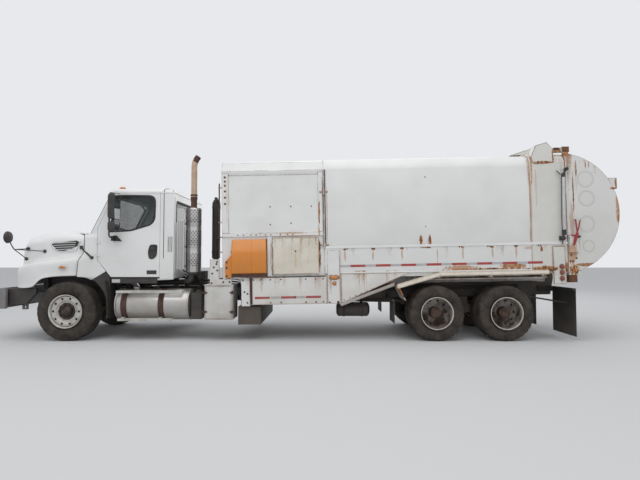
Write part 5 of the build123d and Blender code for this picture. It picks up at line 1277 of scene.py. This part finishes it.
# Service cabinet, the plate above it, the hoist cylinder and the lines up the front of the body
cabinet_paint = painted("Cabinet white", (0.70, 0.695, 0.67), (0.26, 0.22, 0.17), 0.40, 0.9, 0.5, low=0.4,
                        high=1.2, patch=3, runs=((-0.15, 0.4, 0.35, 7.0),), edge_width=0.02)
hoist_black = painted("Hoist black", (0.016, 0.016, 0.018), (0.09, 0.07, 0.055), 0.4, 0, 0.3, low=1.4,
                      high=2.4, patch=6, bump=0.05)
dress(cabinet_paint, 0.005, "service_cabinet")
dress(hoist_black, 0.008, "hoist_cylinder")
front, fixings, stages, hoses = (Shape() for _ in range(4))
front.box((1.463, 1.947), (1.216, 1.230), (0.430, 1.038))
front.box((1.42, 1.99), (0.70, 1.235), (1.052, 1.070))
front.make("cabinet_door", cabinet_paint, "chassis", "white_paint", bevel=0.004)
for x in (1.445, 1.965):
    for z in (0.56, 0.92):
        fixings.box((x - 0.05, x + 0.05), (1.225, 1.238), (z - 0.012, z + 0.012))
        fixings.tube([(x, 1.236, z - 0.03), (x, 1.236, z + 0.03)], 0.012, 10)
for x, z in (
    (1.75, 1.46), (1.83, 1.28), (1.735, 1.34), (1.80, 1.40), (1.50, 1.12), (1.84, 1.10), (1.74, 1.50),
    (1.62, 1.12),
):
    fixings.bolt((x, 1.22, z), 0.014, 0.006)
fixings.make("cabinet_fixings", strap_rust, "chassis", "white_paint")
hoist_x = 2.043
for z, r in ((1.70, 0.091), (2.68, 0.092)):
    band(stages, (hoist_x, 0, z), "z", -0.03, 0.03, 0.085, r, 40)
stages.lathe([(0, 0.01), (0, 0.07), (0.05, 0.066), (0.055, 0.01)], (hoist_x, 0, 2.78), "z", 36)
stages.tube([(hoist_x, -0.05, 2.86), (hoist_x, 0.05, 2.86)], 0.035, 20)
stages.make("hoist_rings", hoist_black, "chassis", "cylinder_steel", bevel=0.002)
# hoses and wiring between the cab and the body
for y, drop in ((0.40, 0.0), (0.45, -0.05), (0.50, -0.10), (0.56, 0.03)):
    run = ((2.60, -0.05, 1.30), (2.35, 0, 1.16), (2.0, 0.02, 1.10), (1.70, -0.03, 1.14), (1.45, -0.08, 1.12))
    hoses.tube([(x, y + off, z + drop) for x, off, z in run], 0.016, 10, smooth=5)
for y in (0.62, 0.66, 0.70):
    run = ((1.42, 0, 1.08), (1.36, 0.02, 0.98), (1.34, 0.03, 0.80), (1.28, -0.02, 0.66), (1.12, -0.1, 0.63))
    hoses.tube([(x, y + off, z) for x, off, z in run], 0.015, 10, smooth=5)
hoses.make("frame_hoses", line_black, "chassis", "rubber_black")

# Inner wings: black liners behind the front wheels that close the gap down to the steps
for side, hand in hands:
    liner = Shape(side)
    cheek = [(4.208, 1.150), (4.13, 1.118), (4.05, 1.02), (3.975, 0.92), (3.925, 0.78), (3.895, 0.50),
             (3.865, 0.42)]
    liner.prism(cheek + [(3.858, 1.19), (3.935, 1.296)], "y", 1.005, 1.022)
    rings = []
    for x, z in (
        (4.30, 1.195), (4.20, 1.16), (4.125, 1.122), (4.045, 1.022), (3.97, 0.92), (3.92, 0.78),
        (3.892, 0.50),
    ):
        rings.append([(x, 0.72, z), (x, 1.02, z), (x - 0.01, 1.02, z + 0.008), (x - 0.01, 0.72, z + 0.008)])
    liner.sweep(rings)
    liner.make(f"wing_liner_{hand}", black_plastic, "chassis", "rubber_black", smooth=60)
rubber_black = painted("Flap rubber", (0.018, 0.018, 0.018), (0.09, 0.075, 0.06), 0.5, 0, 0.85, low=0.1,
                       high=0.9, bump=0.1)
dress(rubber_black, 0.002, "mud_flaps")
flaps = Shape()
for _ in both(flaps):
    flaps.box((-5.062, -5.050), (0.37, 0.606), (0.089, 0.96))
    flaps.tube([(-4.19, 1.0, 0.842), (-5.046, 1.0, 0.700)], 0.016, 10)
    for y in (0.45, 0.65, 0.85, 1.05, 1.17):
        flaps.bolt((-5.062, y, 0.975), 0.012, way=(-1, 0, 0))
flaps.make("flap_inner", rubber_black, "chassis", "rubber_black")

# Packer body: a welded steel hull with bulged sides above a flat band, painted white. Rust has
# come through at its seams and runs down from them; the band has bolts and safety tape.
white, grey_dirt = (0.80, 0.80, 0.785), (0.36, 0.33, 0.28)
rusty_bolts = (4.294, 3.762, 3.211, 2.055, 1.490, 1.040, 0.560)
side_paint = painted(
    "Body white", white, grey_dirt, 0.16, 0.85, 0.42, low=0.6, high=2.2, patch=1.6, bump=0.12, swell_size=1.1,
    runs=((0.655, 0.42, 0.62, 3.4), (0.20, 0.20, 0.75, 6.0), (2.15, 0.5, 0.20, 4.0)), edge_width=0.02,
    spots=(
        *[(u, 0.603, 0.044, 0.020, 1.0) for u in rusty_bolts],
        *[(u, 0.50, 0.022, 0.13, 0.55) for u in rusty_bolts],
        (2.835, 0.755, 0.036, 0.11, 1.0), (2.670, 0.745, 0.036, 0.13, 1.0), (2.758, 0.62, 0.12, 0.025, 0.9),
        (2.54, 0.39, 0.010, 0.24, 0.8), (1.65, 0.165, 1.05, 0.045, 1.0), (2.10, 0.22, 0.35, 0.05, 0.8),
        (1.10, 0.23, 0.30, 0.06, 0.9), (4.62, 1.30, 0.012, 0.55, 0.6), (2.727, 1.967, 0.02, 0.02, 0.8),
        (2.745, 1.017, 0.02, 0.02, 0.8), (0.80, 0.57, 0.10, 0.035, 0.5),
    ),
)
roof_paint = painted("Roof white", (0.82, 0.82, 0.81), grey_dirt, 0.14, 0.5, 0.45, patch=1.3, bump=0.3)
hull_paint = painted(
    "Hull white", (0.74, 0.73, 0.69), grey_dirt, 0.22, 1.0, 0.48, low=0.5, high=2.4, patch=2.0, bump=0.15,
    runs=((2.26, 1.5, 0.68, 3.0), (0.655, 0.5, 0.75, 4.5), (0.2, 0.5, 0.8, 5.0)), edge_width=0.03,
    spots=(
        (0.272, 2.33, 0.035, 0.15, 1.0), (0.46, 2.20, 0.22, 0.03, 1.0), (0.735, 1.45, 0.028, 0.90, 0.55),
        (0.50, 0.17, 0.26, 0.06, 1.0), (0.56, 0.55, 0.03, 0.06, 1.0), (0.16, 2.447, 0.12, 0.05, 0.9),
        (0.70, 2.05, 0.02, 0.30, 0.8), (0.10, 0.20, 0.05, 0.12, 0.9), (0.62, 1.72, 0.010, 0.5, 0.5),
    ),
)
hopper_paint = painted(
    "Hopper white", white, grey_dirt, 0.18, 0.9, 0.45, low=0.6, high=2.2, patch=2.2, bump=0.12,
    swell_size=1.5, runs=((0.955, 0.09, 0.55, 6.0), (0.13, 0.5, 0.7, 5.0)), edge_width=0.02,
    spots=(
        # the thin dark line at w 0.884 under the framing bar is painted shadow
        (4.775, 0.48, 0.024, 0.38, 1.0), (5.30, 0.940, 0.36, 0.020, 0.55), (5.20, 0.884, 0.48, 0.010, 0.9),
        (4.768, 1.33, 0.020, 0.26, 1.0), (4.775, 0.98, 0.018, 0.14, 0.7), (5.71, 0.50, 0.010, 0.30, 0.5),
        (6.53, 1.55, 0.008, 0.6, 0.5),
    ),
)
door_cream = painted(
    "Door cream", (0.77, 0.74, 0.66), (0.47, 0.38, 0.24), 0.34, 0.9, 0.5, low=0.9, high=2.1, patch=3,
    bump=0.15, runs=((0.90, 1.0, 0.62, 16.0), (0.90, 0.62, 0.80, 9.0)), edge_width=0.03,
    spots=((5.231, 0.590, 0.018, 0.022, 1.0), (5.231, 0.42, 0.008, 0.16, 0.6)),
)
skirt_paint = painted(
    "Skirt white", (0.79, 0.78, 0.75), (0.30, 0.25, 0.19), 0.24, 1.0, 0.5, low=0.7, high=1.5, patch=2.5,
    bump=0.15, runs=((0.15, 0.55, 0.75, 6.0),), edge_width=0.035, spots=((3.27, -0.20, 0.14, 0.17, 1.0),),
)
tail_paint = painted(
    "Tail white", (0.76, 0.755, 0.73), grey_dirt, 0.20, 0.9, 0.45, low=0.8, high=2.6, patch=1.5, bump=0.15,
    swell_size=1.3, runs=((2.36, 1.1, 0.66, 4.0), (2.2, 1.6, 0.45, 6.5)), edge_width=0.02,
    spots=(
        (-0.086, 1.58, 0.014, 0.46, 1.0), (-0.156, 2.08, 0.016, 0.16, 1.0), (-0.340, 2.15, 0.012, 0.11, 1.0),
        (-0.400, 2.15, 0.010, 0.08, 0.9), (-0.955, 1.05, 0.045, 0.26, 1.0), (-0.93, 1.30, 0.05, 0.36, 0.8),
        (-0.87, 1.68, 0.10, 0.03, 1.0), (-0.93, 1.78, 0.03, 0.12, 0.9), (-0.02, 0.45, 0.10, 0.24, 0.75),
        (-0.05, 0.14, 0.10, 0.12, 1.0), (-0.30, 0.23, 0.30, 0.035, 0.9), (0.0, 2.36, 0.10, 0.07, 0.9),
        (-0.04, 1.10, 0.05, 0.35, 0.5),
    ),
)
dress(side_paint, 0.006, "body_sides")
dress(roof_paint, 0.004, "body_roof")
dress(hull_paint, 0.006, "rear_frame")
dress(hopper_paint, 0.005, "hopper_walls", "packer_blade")
dress(door_cream, 0.005, "service_door")
dress(skirt_paint, 0.004, "body_skirts", "body_floor")
dress(tail_paint, 0.006, "tailgate_shell")
rust_bare = painted("Bare rust", (0.22, 0.095, 0.04), (0.10, 0.045, 0.02), 0.8, 0.0, 0.85, patch=12, bump=0.5)
tape_red = painted("Tape red", (0.42, 0.035, 0.035), (0.30, 0.20, 0.16), 0.35, 0, 0.3, patch=8, bump=0)
tape_silver = painted("Tape silver", (0.50, 0.50, 0.51), (0.36, 0.33, 0.29), 0.45, 0, 0.3, patch=8, bump=0)
band_face, hull_face = 1.220, 1.180
tape_y, tape_w, low_tape_w = (band_face - 0.001, band_face + 0.0015), (0.268, 0.313), (-0.302, -0.258)
reds, silvers = Shape(), Shape()
for side in both(reds, silvers):
    for start in (0.545 + 0.481 * i for i in range(8)):
        reds.box((start, start + 0.283), tape_y, tape_w)
        silvers.box((start + 0.283, start + 0.481), tape_y, tape_w)
    for start in (4.766, 5.237, 5.735):
        if side > 0 or start < 5.3:
            reds.box((start, start + 0.283), tape_y, low_tape_w)
for start in (5.055, 5.524):
    silvers.box((start, start + 0.20), tape_y, low_tape_w)
reds.make("tape_red", tape_red, "body", "body_white", deck_place)
silvers.make("tape_silver", tape_silver, "body", "body_white", deck_place)

# folded top flange of the band, its stiffening ribs and the row of rusty bolt heads under it
edge_cream = painted("Edge cream", (0.90, 0.86, 0.75), (0.42, 0.22, 0.10), 0.26, 1.0, 0.5, low=0.6, high=1.9,
                     patch=7, bump=0.3, edge_width=0.035)
flange, trim, folds, marks = (Shape() for _ in range(4))
section = ((1.150, 0.0), (1.222, 0.0), (1.235, 0.012), (1.239, 0.044), (1.235, 0.076), (1.222, 0.088),
           (1.150, 0.088))
fold = ((4.415, 1.219, -0.414), (3.36, 1.219, -0.035), (3.36, 1.13, -0.11), (4.38, 1.13, -0.475))
flange_run = ((0.43, 0.062), (2.49, 0.062), (3.32, -0.165))
for side in both(flange, trim, folds, marks):
    flange.box((0.06, 4.655), (band_face - 0.004, band_face + 0.012), (0.628, 0.676))
    flange.box((0.75, 4.38), (band_face - 0.004, band_face + 0.007), (0.150, 0.172))
    trim.sweep([[(u, y, low + w) for y, w in section] for u, low in flange_run])
    folds.sweep([[(u, y, w + lift) for u, y, w in fold] for lift in (0, 0.006)])
    for u in (4.27, 3.755, 3.215, 2.70, 2.10, 1.56, 1.04, 0.60):
        for offset in (-0.02, 0.02):
            marks.bolt((u + offset, band_face, 0.615), 0.010, 0.010)
    for i in range(9):
        marks.bolt((4.33 - 0.11 * i, band_face, -0.345 + 0.0395 * i), 0.008, 0.006)
    for u in (4.72, 4.86, 5.05, 5.52, 5.72):
        for w in (0.060, -0.375):
            marks.bolt((u, band_face, w), 0.011, 0.010)
for u in (5.90, 6.04):
    marks.bolt((u, band_face, 0.060), 0.011, 0.010)
flange.make("band_flange", roof_paint, "body", "body_white", deck_place, bevel=0.003)
folds.make("skirt_fold", skirt_paint, "body", "body_white", deck_place)
trim.make("rolled_flange", edge_cream, "body", "body_white", deck_place, bevel=0.003)
marks.make("body_bolts", rust_bare, "body", "body_white", deck_place)

# raised framing round the hopper's recessed side panel, and the joint to the body behind it
frame_y, proud_y = (hull_face - 0.002, hull_face + 0.022), hull_face + 0.022
framing, joint, front_rod, hardware, dots = (Shape() for _ in range(5))
cap = [(1.178, 2.155), (1.203, 2.150), (1.203, 2.105), (1.186, 2.060), (1.178, 2.060)]
framing.prism(cap, "x", 4.69, 6.628)
for u0, u1, w0, w1 in (
    (4.69, 4.79, 0.955, 2.105), (6.50, 6.628, 0.955, 2.105), (4.69, 6.628, 0.880, 0.955),
    (5.672, 5.775, 0.115, 0.880),
):
    framing.box((u0, u1), frame_y, (w0, w1))
framing.side = -1
for u0, u1, w0, w1 in (
    (4.69, 4.79, 0.72, 2.105), (5.30, 5.40, 0.72, 2.105), (4.69, 5.66, 2.105, 2.15), (4.69, 5.66, 0.64, 0.72),
):
    framing.box((u0, u1), frame_y, (w0, w1))
framing.make("hopper_framing", hopper_paint, "body", "body_white", deck_place, bevel=0.005)
for _ in both(joint):
    bulge = ((hull_face + 0.004, 2.15), (1.206, 1.90), (1.218, 1.45), (1.212, 0.95), (1.20, 0.67))
    joint.tube([(4.655, y, w) for y, w in bulge], 0.0095, 8, smooth=4)
    joint.box((4.69, 5.786), (1.176, 1.2205), (0.096, 0.114))
joint.make("hopper_joint", seal_rubber, "body", "body_white", deck_place)
front_rod.tube([(6.695, 1.161, 0.50), (6.68, 1.161, 1.92)], 0.013, 10)
front_rod.tube([(6.695, 1.161, 0.87), (6.695, 1.161, 0.90)], 0.030, 12)
front_rod.make("front_rod", strap_rust, "body", "body_white", deck_place)
for w in (1.72, 0.70):
    hardware.box((4.60, 4.76), (hull_face + 0.01, hull_face + 0.035), (w - 0.018, w + 0.018))
    hardware.tube([(4.676, hull_face + 0.04, w - 0.07), (4.676, hull_face + 0.04, w + 0.07)], 0.016, 12)
    for u in (4.62, 4.74):
        hardware.bolt((u, hull_face + 0.035, w), 0.012)
hardware.tube([(4.700, hull_face + 0.030, 0.72), (4.700, hull_face + 0.030, 2.0)], 0.010, 10)
for w in (1.84, 1.17, 0.885, 0.60):
    hardware.box((6.60, 6.70), (1.150, 1.172), (w - 0.012, w + 0.012))
hardware.make("hopper_hardware", hull_paint, "body", "body_white", deck_place, bevel=0.002)
for u in (6.33, 6.22, 6.08, 5.98, 5.80, 5.70, 5.52, 5.38, 5.28):
    dots.bolt((u, proud_y, 0.915), 0.009)
for u, w in ((5.71, 1.45), (5.31, 1.45), (5.71, 1.11), (5.31, 1.13), (4.92, 1.45)):
    dots.bolt((u, hull_face, w), 0.010)
for w in (2.03, 1.95, 1.87, 1.76, 1.64, 1.52):
    dots.bolt((6.565, proud_y, w), 0.016, 0.006)
dots.make("hopper_bolts", rust_bare, "body", "body_white", deck_place)

# Orange cover on the hopper's side, the post and hoses below it, and the raised corner post with
# its two amber lamps
orange_paint = painted("Orange cover", (0.70, 0.235, 0.022), (0.30, 0.16, 0.08), 0.22, 0.45, 0.34, patch=4,
                       bump=0.05, coat=0.3, runs=((0.62, 0.45, 0.25, 7.0),))
hose_black = painted("Hose black", (0.016, 0.016, 0.017), (0.05, 0.042, 0.034), 0.3, 0, 0.6, bump=0)
cover, below, posts, fixings, lamps, rims, hoses = (Shape() for _ in range(7))
cover_y, cover_w = 1.176, 0.51
section = (
    (1.176, 0.184), (1.262, 0.184), (1.281, 0.196), (1.289, 0.225), (1.290, 0.574), (1.286, 0.592),
    (1.216, 0.812), (1.200, 0.830), (1.176, 0.836),
)
rings = []
for u, back in (
    (5.786, 0.020), (5.792, 0.007), (5.802, 0.0), (6.062, 0.0), (6.064, 0.004), (6.070, 0.004), (6.072, 0.0),
    (6.430, 0.0), (6.440, 0.007), (6.446, 0.020),
):
    rings.append([(u, max(cover_y, y - back), cover_w + (w - cover_w) * (1 - back / 2)) for y, w in section])
cover.sweep(rings)
nose = [(6.446, 0.115), (6.570, 0.115), (6.568, 0.410), (6.545, 0.440), (6.446, 0.545)]
cover.prism(nose, "y", cover_y, 1.246)
cover.make("orange_cover", orange_paint, "body", "orange_cover", deck_place, bevel=0.006, smooth=30,
           replaces=("side_cover",))
# In this piece, the dark brown strip under the cover and the narrow one along its rear edge are painted
# shadow; the bolts round the cover are in it too.
below.box((5.786, 6.446), (cover_y, 1.262), (0.118, 0.178))
below.box((5.774, 5.786), (cover_y, 1.215), (0.12, 0.84))
for u, w in ((6.455, 0.60), (6.540, 0.405), (6.540, 0.145), (6.540, 0.30)):
    below.bolt((u, 1.245 if w < 0.5 else 1.18, w), 0.015)
for i in range(7):
    below.bolt((5.686, 1.20, 0.155 + 0.105 * i), 0.006, 0.004)
below.make("cover_sill_and_shade", strap_rust, "body", "orange_cover", deck_place, bevel=0.003)
posts.box((6.112, 6.276), (1.180, 1.206), (-0.436, 0.112))
posts.box((6.112, 6.130), (1.08, 1.20), (-0.436, 0.112))
for u, w in ((6.215, -0.165), (6.157, -0.200), (6.160, -0.369), (6.24, 0.06)):
    fixings.bolt((u, 1.206, w), 0.013)
fixings.box((6.060, 6.100), (1.216, 1.224), (-0.40, 0.10))
for _ in both(posts, fixings, lamps, rims):
    posts.box((4.392, 4.634), (1.216, 1.2425), (-0.408, 0.594))
    posts.box((4.392, 4.404), (1.216, 1.2465), (-0.408, 0.594))
    fixings.bolt((4.440, 1.2425, -0.385), 0.018)
    fixings.bolt((4.600, 1.2425, -0.385), 0.012)
    for shape, size, out in ((lamps, 1.0, 0.020), (rims, 1.22, 0.007)):
        oval_lamp(shape, (4.507, 1.243, 0.079), 0.080 * size, 0.036 * size, out)
        oval_lamp(shape, (4.509, 1.243, -0.031), 0.032 * size, 0.032 * size, out)
posts.make("side_posts", hopper_paint, "body", "body_white", deck_place, bevel=0.004)
fixings.make("post_bolts", strap_rust, "body", "body_white", deck_place)
lamps.make("side_lamps", amber, "body", "lamp_clear", deck_place)
rims.make("side_lamp_rims", black_plastic, "body", "lamp_clear", deck_place)
for k in range(6):
    x, y = 1.25 + 0.028 * (k % 3), 0.98 + 0.06 * (k // 3) + 0.012 * k
    run = [(x - 0.03, y - 0.22, 1.13), (x, y, 1.10 - 0.02 * k), (x + 0.05, y + 0.03, 0.95)]
    run += [(x + 0.02 * sin(k * 2), y + 0.02, 0.80), (x - 0.03, y - 0.03, 0.68), (x - 0.10, y - 0.22, 0.63)]
    hoses.tube(run, 0.0145, 10, smooth=5)
hoses.box((1.16, 1.30), (0.98, 1.10), (0.615, 0.74))
hoses.box((0.90, 1.355), (0.62, 1.02), (0.33, 0.617))
hoses.make("arm_hoses", hose_black, "chassis", "rubber_black", bevel=0.003)

# Tail details: hinge blocks and pins, the lift cylinders with black fittings, red load binders
# over the clamps, round marks on the disc, red lamps, and the camera in its bracket
binder_red = painted("Binder red", (0.40, 0.025, 0.03), (0.18, 0.06, 0.04), 0.5, 0.6, 0.4, patch=9, bump=0.2)
tube_grey = painted("Cylinder grey", (0.62, 0.62, 0.61), (0.24, 0.20, 0.16), 0.3, 0.5, 0.25, patch=5, bump=0,
                    metallic=0.3)
mark_grey = painted("Ring marks", (0.50, 0.49, 0.45), (0.40, 0.36, 0.30), 0.5, 0, 0.6, patch=7, bump=0)
blocks, fittings, tubes, binders, marks, lamps, rims, rods, knobs = (Shape() for _ in range(9))
fitting_runs = (
    (((0.186, 1.285, 0.80), (0.188, 1.285, 1.20), (0.165, 1.285, 1.90)), 0.007, 8),
    (((0.128, 1.290, 1.90), (0.128, 1.290, 1.97)), 0.036, 20),
    (((0.128, 1.29, 1.96), (0.07, 1.29, 2.045)), 0.019, 12),
    (((0.07, 1.255, 2.05), (0.07, 1.322, 2.05)), 0.034, 20),
    (((0.235, 1.25, 2.03), (0.165, 1.262, 1.955)), 0.009, 8),
    (((0.151, 1.290, 0.80), (0.151, 1.290, 0.90)), 0.038, 20),
    (((0.176, 1.25, 0.74), (0.176, 1.33, 0.74)), 0.036, 20),
    (((0.165, 1.29, 0.82), (0.176, 1.29, 0.74)), 0.020, 10),
    (((0.176, 1.28, 0.74), (0.176, 1.262, 0.63)), 0.010, 8),
)
binder_runs = (
    (((-0.080, 1.275, 1.085), (-0.088, 1.280, 0.95), (-0.100, 1.283, 0.830)), 0.012),
    (((-0.168, 1.275, 1.080), (-0.130, 1.280, 0.94), (-0.100, 1.283, 0.850)), 0.011),
    (((-0.100, 1.283, 0.840), (-0.060, 1.285, 0.72), (-0.036, 1.280, 0.615)), [0.022, 0.026, 0.018]),
    (((0.010, 1.278, 0.795), (-0.065, 1.285, 0.785), (-0.110, 1.285, 0.770)), 0.013),
)
knob = [(-0.02, 0.004), (-0.018, 0.022), (0.012, 0.024), (0.02, 0.004)]
for _ in both(blocks, fittings, tubes, binders, marks, lamps, rims, rods, knobs):
    blocks.box((-0.045, 0.084), (1.151, 1.212), (2.395, 2.500))
    blocks.box((-0.110, 0.040), (1.10, 1.205), (-0.100, 0.094))
    blocks.bolt((0.057, 1.212, 2.447), 0.026, 0.02)
    for u, w in ((-0.03, 0.30), (0.02, 0.30), (-0.10, 0.36), (0.0, 0.42), (-0.10, 0.20), (0.0, 0.14),
                 (0.0, -0.06)):
        blocks.bolt((u, 1.2205 if w > 0.25 else 1.212, w), 0.014, 0.012)
    rods.box((0.123, 0.225), (1.15, 1.175), (2.462, 2.492))
    tubes.tube([(0.151, 1.290, 0.86), (0.128, 1.290, 1.93)], 0.028, 24)
    for run, radius, facets in fitting_runs:
        fittings.tube(run, radius, facets)
    fittings.box((0.13, 0.22), (1.22, 1.27), (0.70, 0.78))
    for run, radius in binder_runs:
        binders.tube(run, radius, 10)
    for u, w, r in ((-0.328, 1.862, 0.157), (-0.338, 1.494, 0.152), (-0.318, 1.002, 0.157),
                    (-0.344, 0.583, 0.114)):
        for size in (r, r * 0.86):
            mark = [(-0.004, size - 0.004), (0.0008, size - 0.003), (0.0008, size + 0.003),
                    (-0.004, size + 0.004)]
            marks.lathe(mark, (u, 1.220, w), "y", 48, closed=True)
    for w in (0.208, 0.094, -0.020):
        oval_lamp(lamps, (0.200, 1.2572, w), 0.027, 0.027, 0.010)
        oval_lamp(rims, (0.200, 1.2565, w), 0.041, 0.041, 0.003)
    knobs.lathe(knob, (-0.132, 1.285, 0.765), "y", 20)
    knobs.tube([(-0.09, 1.222, 1.09), (-0.082, 1.277, 1.08)], 0.010, 8)
    knobs.tube([(-0.034, 1.222, 0.60), (-0.036, 1.282, 0.61)], 0.010, 8)
knobs.box((-0.965, -0.925), (1.06, 1.16), (1.74, 1.82))
knobs.tube([(-0.965, 1.11, 1.78), (-0.975, 1.11, 1.78)], 0.024, 20)
blocks.make("tail_blocks", rust_bare, "tailgate", "body_white", deck_place, bevel=0.006)
rods.make("tail_hinge_rods", strap_rust, "body", "body_white", deck_place, bevel=0.003)
tubes.make("lift_tubes", tube_grey, "body", "cylinder_steel", deck_place, replaces=("tailgate_cylinders",))
fittings.make("lift_fittings", black_plastic, "body", "cylinder_steel", deck_place, bevel=0.002)
binders.make("load_binders", binder_red, "tailgate", "body_white", deck_place)
knobs.make("tail_camera", black_plastic, "tailgate", "body_white", deck_place, bevel=0.003)
marks.make("ring_marks", mark_grey, "tailgate", "body_white", deck_place)
lamps.make("side_tail_lamps", red_lens, "body", "body_white", deck_place)
rims.make("side_tail_lamp_rims", black_plastic, "body", "body_white", deck_place)

# Running gear: axles, springs, brakes and the engine, black under dirt, with brake chambers
# behind each axle and the shaft between them
gear_black = painted("Running gear", (0.035, 0.033, 0.032), (0.14, 0.11, 0.08), 0.7, 0.6, 0.6, patch=6,
                     bump=0.2)
dress(gear_black, 0.006, "front_axle", "rear_axles", "knuckle_left", "knuckle_right")
engine_grey = painted("Engine iron", (0.09, 0.09, 0.095), (0.13, 0.10, 0.08), 0.5, 0.5, 0.55, patch=6,
                      bump=0.2)
dress(engine_grey, 0.015, "engine_block")
chamber = (
    (-0.07, 0.02), (-0.068, 0.070), (-0.01, 0.082), (0.0, 0.088), (0.01, 0.082), (0.09, 0.074), (0.095, 0.02),
)
gear = Shape()
for _ in both(gear):
    for x in (-2.353, -3.673):
        gear.lathe(chamber, (x + 0.24, 0.36, 0.625), "x", 28)
        gear.tube([(x + 0.16, 0.36, 0.625), (x + 0.04, 0.40, 0.585)], 0.016, 10)
gear.tube([(-2.12, 0, 0.66), (-0.30, 0, 0.80), (1.70, 0, 0.86)], 0.055, 24)
gear.tube([(-3.42, 0, 0.60), (-2.62, 0, 0.62)], 0.050, 24)
for x, z in ((-0.30, 0.80), (-2.14, 0.64), (-2.60, 0.64), (-3.40, 0.64)):
    gear.lathe([(-0.05, 0.03), (-0.045, 0.075), (0.045, 0.075), (0.05, 0.03)], (x, 0, z), "x", 20)
gear.make("brakes_and_shafts", gear_black, "chassis", "engine_iron", bevel=0.003)

# Loading arm on the right-hand side: black with worn edges, greased pins and its hoses. Its
# places are given as they are, on the right.
arm_paint = painted("Arm black", (0.032, 0.032, 0.034), (0.15, 0.12, 0.09), 0.45, 1.0, 0.45, low=0.3,
                    high=1.6, patch=5, bump=0.12)
dress(arm_paint, 0.006, "arm_carriage", "arm_boom", "gripper_head", "claw_front", "claw_rear")
arm_x, boom_y = 1.13, -1.12
for body, name, z, reach in (("arm_carriage", "carriage_pins", 0.77, 0.110),
                             ("arm_boom", "boom_pins", 2.33, 0.105)):
    caps = Shape()
    for way in (-1, 1):
        caps.bolt((arm_x + way * reach, boom_y, z), 0.034, 0.020, (way, 0, 0))
    caps.make(name, tube_grey, body, "arm_black")
plates, lines, studs = Shape(), Shape(), Shape()
for way in (-1, 1):
    for z0, z1 in ((0.86, 1.22), (1.86, 2.20)):
        plate = [(-1.160, z0), (boom_y, z0 - 0.03), (-1.080, z0), (-1.080, z1), (boom_y, z1 + 0.03),
                 (-1.160, z1)]
        plates.prism(plate, "x", arm_x + way * 0.059, arm_x + way * 0.0635)
    run = ((-1.062, 0.90), *((-1.052, z) for z in (0.98, 1.3, 1.6, 1.9, 2.16)), (-1.064, 2.24))
    lines.tube([(arm_x + way * 0.030, y, z) for y, z in run], 0.011, 10, smooth=3)
for z in (1.15, 1.60, 2.05):
    lines.box((arm_x - 0.05, arm_x + 0.05), (-1.066, -1.040), (z - 0.015, z + 0.015))
plates.make("boom_plates", arm_paint, "arm_boom", "arm_black", bevel=0.002)
lines.make("boom_hoses", hose_black, "arm_boom", "rubber_black")
for x in (0.86, 1.02, 1.24, 1.40):
    for z in (1.60, 1.76, 1.98, 2.03):
        studs.bolt((x, -1.200, z), 0.011, 0.010)
for x, z0, z1 in ((1.42, 1.595, 1.765), (0.84, 1.795, 1.965)):
    for z, way in ((z0, -1), (z1, 1)):
        studs.bolt((x, -1.32, z), 0.020, 0.012, (0, 0, way))
studs.make("gripper_bolts", tube_grey, "gripper", "arm_black")

# Studio: a plain pale floor and backdrop, soft overhead light, and a wide lens low beside the
# truck's left flank, as it was photographed.
floor_half = 60
floor_mesh = bpy.data.meshes.new("floor")
corners = [(a * floor_half, b * floor_half, 0) for a, b in ((-1, -1), (1, -1), (1, 1), (-1, 1))]
floor_mesh.from_pydata(corners, [], [(0, 1, 2, 3)])
floor = bpy.data.objects.new("floor", floor_mesh)
bpy.context.scene.collection.objects.link(floor)
floor_paint, _, shader = new_material("Floor")
shader.inputs["Base Color"].default_value = (0.62, 0.62, 0.62, 1)
shader.inputs["Roughness"].default_value = 0.9
floor_mesh.materials.append(floor_paint)

world = bpy.data.worlds.new("Studio")
bpy.context.scene.world = world
world.use_nodes = True
g, sky = Graph(world.node_tree), world.node_tree.nodes["Background"].inputs
seen = g.node("LightPath", {}).outputs
reach = g.most(g.most(seen["Is Camera Ray"], seen["Is Glossy Ray"]), seen["Is Transmission Ray"])
g.fill(sky["Color"], g.tint(reach, (0.62, 0.635, 0.66, 1), (0.80, 0.815, 0.84, 1)))
sky["Strength"].default_value = 1.0


def soft_light(name, at, size, power):
    """A large square lamp that looks at the middle of the truck."""
    lamp = bpy.data.lights.new(name, "AREA")
    lamp.shape = "SQUARE"
    lamp.size = size
    lamp.energy = power
    made = bpy.data.objects.new(name, lamp)
    made.location = at
    made.rotation_euler = (Vector((0, 0, 1.5)) - Vector(at)).to_track_quat("-Z", "Y").to_euler()
    bpy.context.scene.collection.objects.link(made)


soft_light("overhead", (1, 6, 13), 14, 900)
soft_light("fill", (-4, -12, 8), 10, 350)

sensor_width, picture_width, focal_pixels = 36.0, 640, 450
camera_data = bpy.data.cameras.new("camera")
camera_data.sensor_width = sensor_width
camera_data.lens = focal_pixels * sensor_width / picture_width
camera = bpy.data.objects.new("camera", camera_data)
camera.location = (-0.214, 9.77, 1.59)
camera.rotation_euler = (radians(90 + 2.2), 0, radians(180))
bpy.context.scene.collection.objects.link(camera)
bpy.context.scene.camera = camera
bpy.context.scene.view_settings.view_transform = "Standard"
